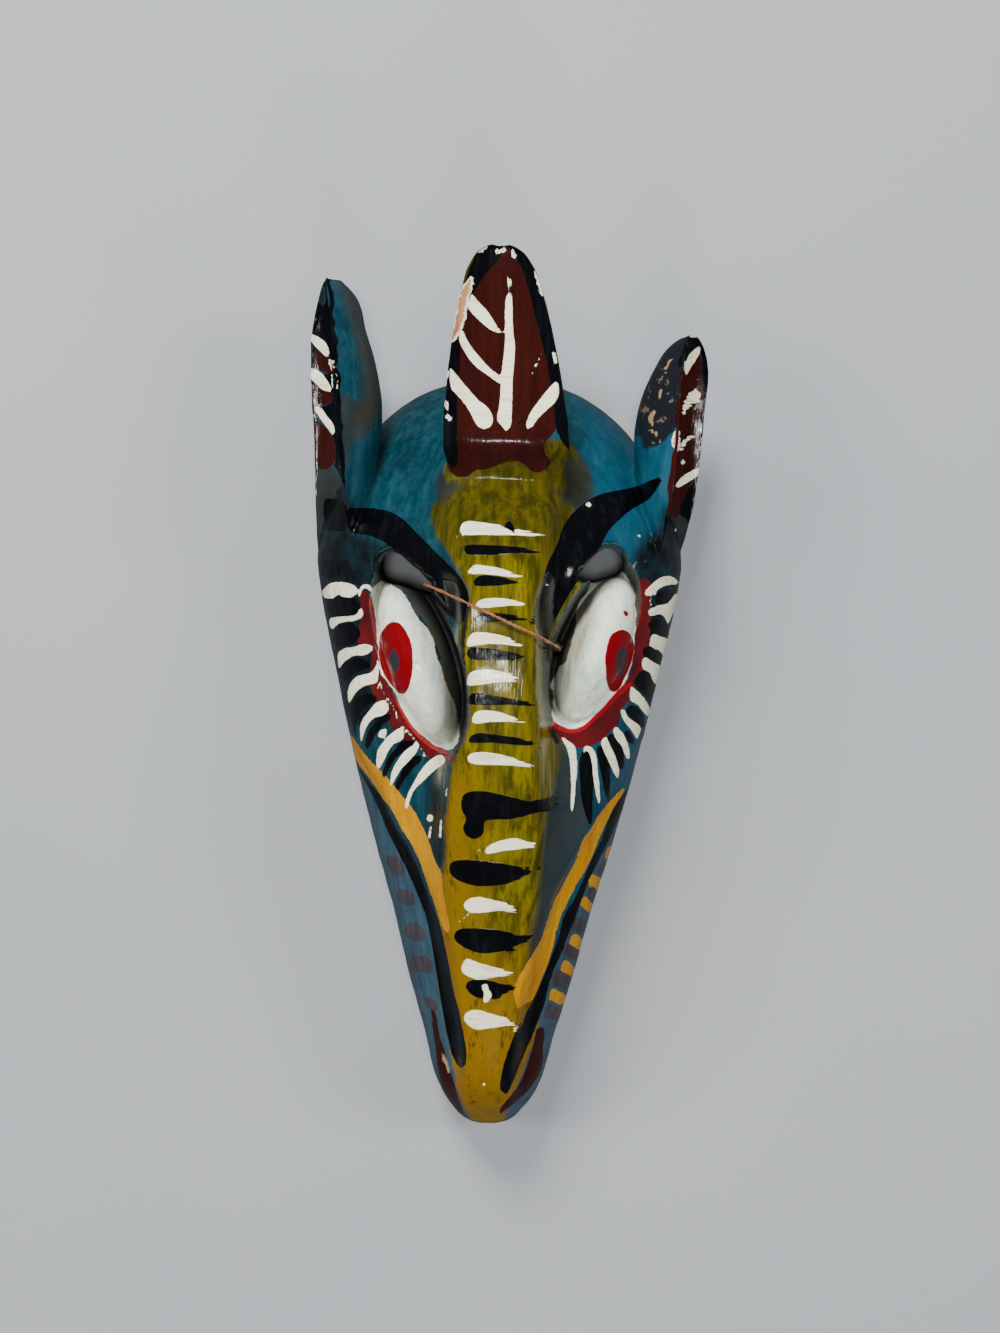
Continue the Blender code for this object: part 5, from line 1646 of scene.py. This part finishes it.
class MASK_OT_tie_wire(bpy.types.Operator):
    """Bend the tie wire round the bridge of the nose"""

    bl_idname = "mask.tie_wire"
    bl_label = "Tie wire"

    def execute(self, context):
        sizes = context.scene.mask_sizes
        points, turns = wire_path(sizes.twist_pitch)
        mesh = bpy.data.meshes.new("wire_path")
        links = [(i, i + 1) for i in range(len(points) - 1)]
        mesh.from_pydata([tuple(p) for p in in_frame(points)], links, [])
        layer = mesh.attributes.new("turn", "FLOAT", "POINT")
        layer.data.foreach_set("value", turns.astype(np.float32))
        piece = bpy.data.objects.new("twisted_wire", mesh)
        context.scene.collection.objects.link(piece)
        group = twist_group()
        modifier = piece.modifiers.new("Twist", "NODES")
        modifier.node_group = group
        inputs = {item.name: item.identifier for item in group.interface.items_tree
                  if item.item_type == "SOCKET" and item.in_out == "INPUT"}
        modifier[inputs["Strand radius"]] = WIRE_DIAMETER / 4 * MM
        modifier[inputs["Offset"]] = WIRE_DIAMETER / 4 * MM
        modifier[inputs["Material"]] = copper_wire(context.scene.mask_colours)
        depsgraph = context.evaluated_depsgraph_get()
        strands = bpy.data.meshes.new_from_object(piece.evaluated_get(depsgraph))
        piece.modifiers.remove(modifier)
        piece.data = strands
        strands.shade_smooth()
        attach(piece, "root")
        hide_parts("tie_wire")
        return {"FINISHED"}


class MASK_OT_stage(bpy.types.Operator):
    """Set the floor, the lights and the camera"""

    bl_idname = "mask.stage"
    bl_label = "Stage"

    def execute(self, context):
        scene = context.scene
        bpy.ops.mesh.primitive_plane_add(size=FLOOR_SIZE, location=(0, 0, 0))
        floor = context.object
        floor.name = "floor"
        floor.data.materials.append(floor_paint())
        floor.visible_glossy = False
        world = bpy.data.worlds.new("studio")
        scene.world = world
        world.use_nodes = True
        world.node_tree.nodes["Background"].inputs["Color"].default_value = SKY
        world.node_tree.nodes["Background"].inputs["Strength"].default_value = SKY_STRENGTH
        centre = Vector((MIDDLE_X, TIP_Y + EYE_POINT[1] * MM, LIT_HEIGHT))
        for name, place, size, power, shines in LIGHTS:
            light = bpy.data.lights.new(name, "AREA")
            light.shape = "DISK"
            light.size = size
            light.energy = power
            lamp = bpy.data.objects.new(name, light)
            lamp.location = centre + Vector(place)
            lamp.rotation_euler = (centre - lamp.location).to_track_quat("-Z", "Y").to_euler()
            lamp.visible_glossy = shines
            scene.collection.objects.link(lamp)
        camera = bpy.data.cameras.new("camera")
        camera.sensor_fit = "HORIZONTAL"
        camera.lens = CAMERA_LENS
        camera.clip_end = 20.0
        view = bpy.data.objects.new("camera", camera)
        view.location = (MIDDLE_X + EYE_POINT[0] * MM, TIP_Y + EYE_POINT[1] * MM, EYE_POINT[2] * MM)
        view.rotation_euler = (0.0, 0.0, math.radians(CAMERA_ROLL))
        scene.collection.objects.link(view)
        scene.camera = view
        return {"FINISHED"}


class MASK_PT_panel(bpy.types.Panel):
    """Lists the pieces and their settings"""

    bl_idname = "MASK_PT_panel"
    bl_label = "Painted mask"
    bl_space_type = "VIEW_3D"
    bl_region_type = "UI"
    bl_category = "Mask"

    def draw(self, context):
        layout = self.layout
        for group in (context.scene.mask_sizes, context.scene.mask_colours):
            for name in group.__annotations__:
                layout.prop(group, name)
        for operator in OPERATORS:
            layout.operator(operator.bl_idname)


OPERATORS = (MASK_OT_carved_mask, MASK_OT_tie_wire, MASK_OT_stage)
CLASSES = (MaskSizes, MaskColours, *OPERATORS, MASK_PT_panel)


def register():
    for cls in CLASSES:
        bpy.utils.register_class(cls)
    bpy.types.Scene.mask_sizes = PointerProperty(type=MaskSizes)
    bpy.types.Scene.mask_colours = PointerProperty(type=MaskColours)


def unregister():
    del bpy.types.Scene.mask_colours
    del bpy.types.Scene.mask_sizes
    for cls in reversed(CLASSES):
        bpy.utils.unregister_class(cls)


def main():
    register()
    bpy.ops.mask.stage()
    bpy.ops.mask.carved_mask()
    bpy.ops.mask.tie_wire()


if __name__ == "__main__":
    main()
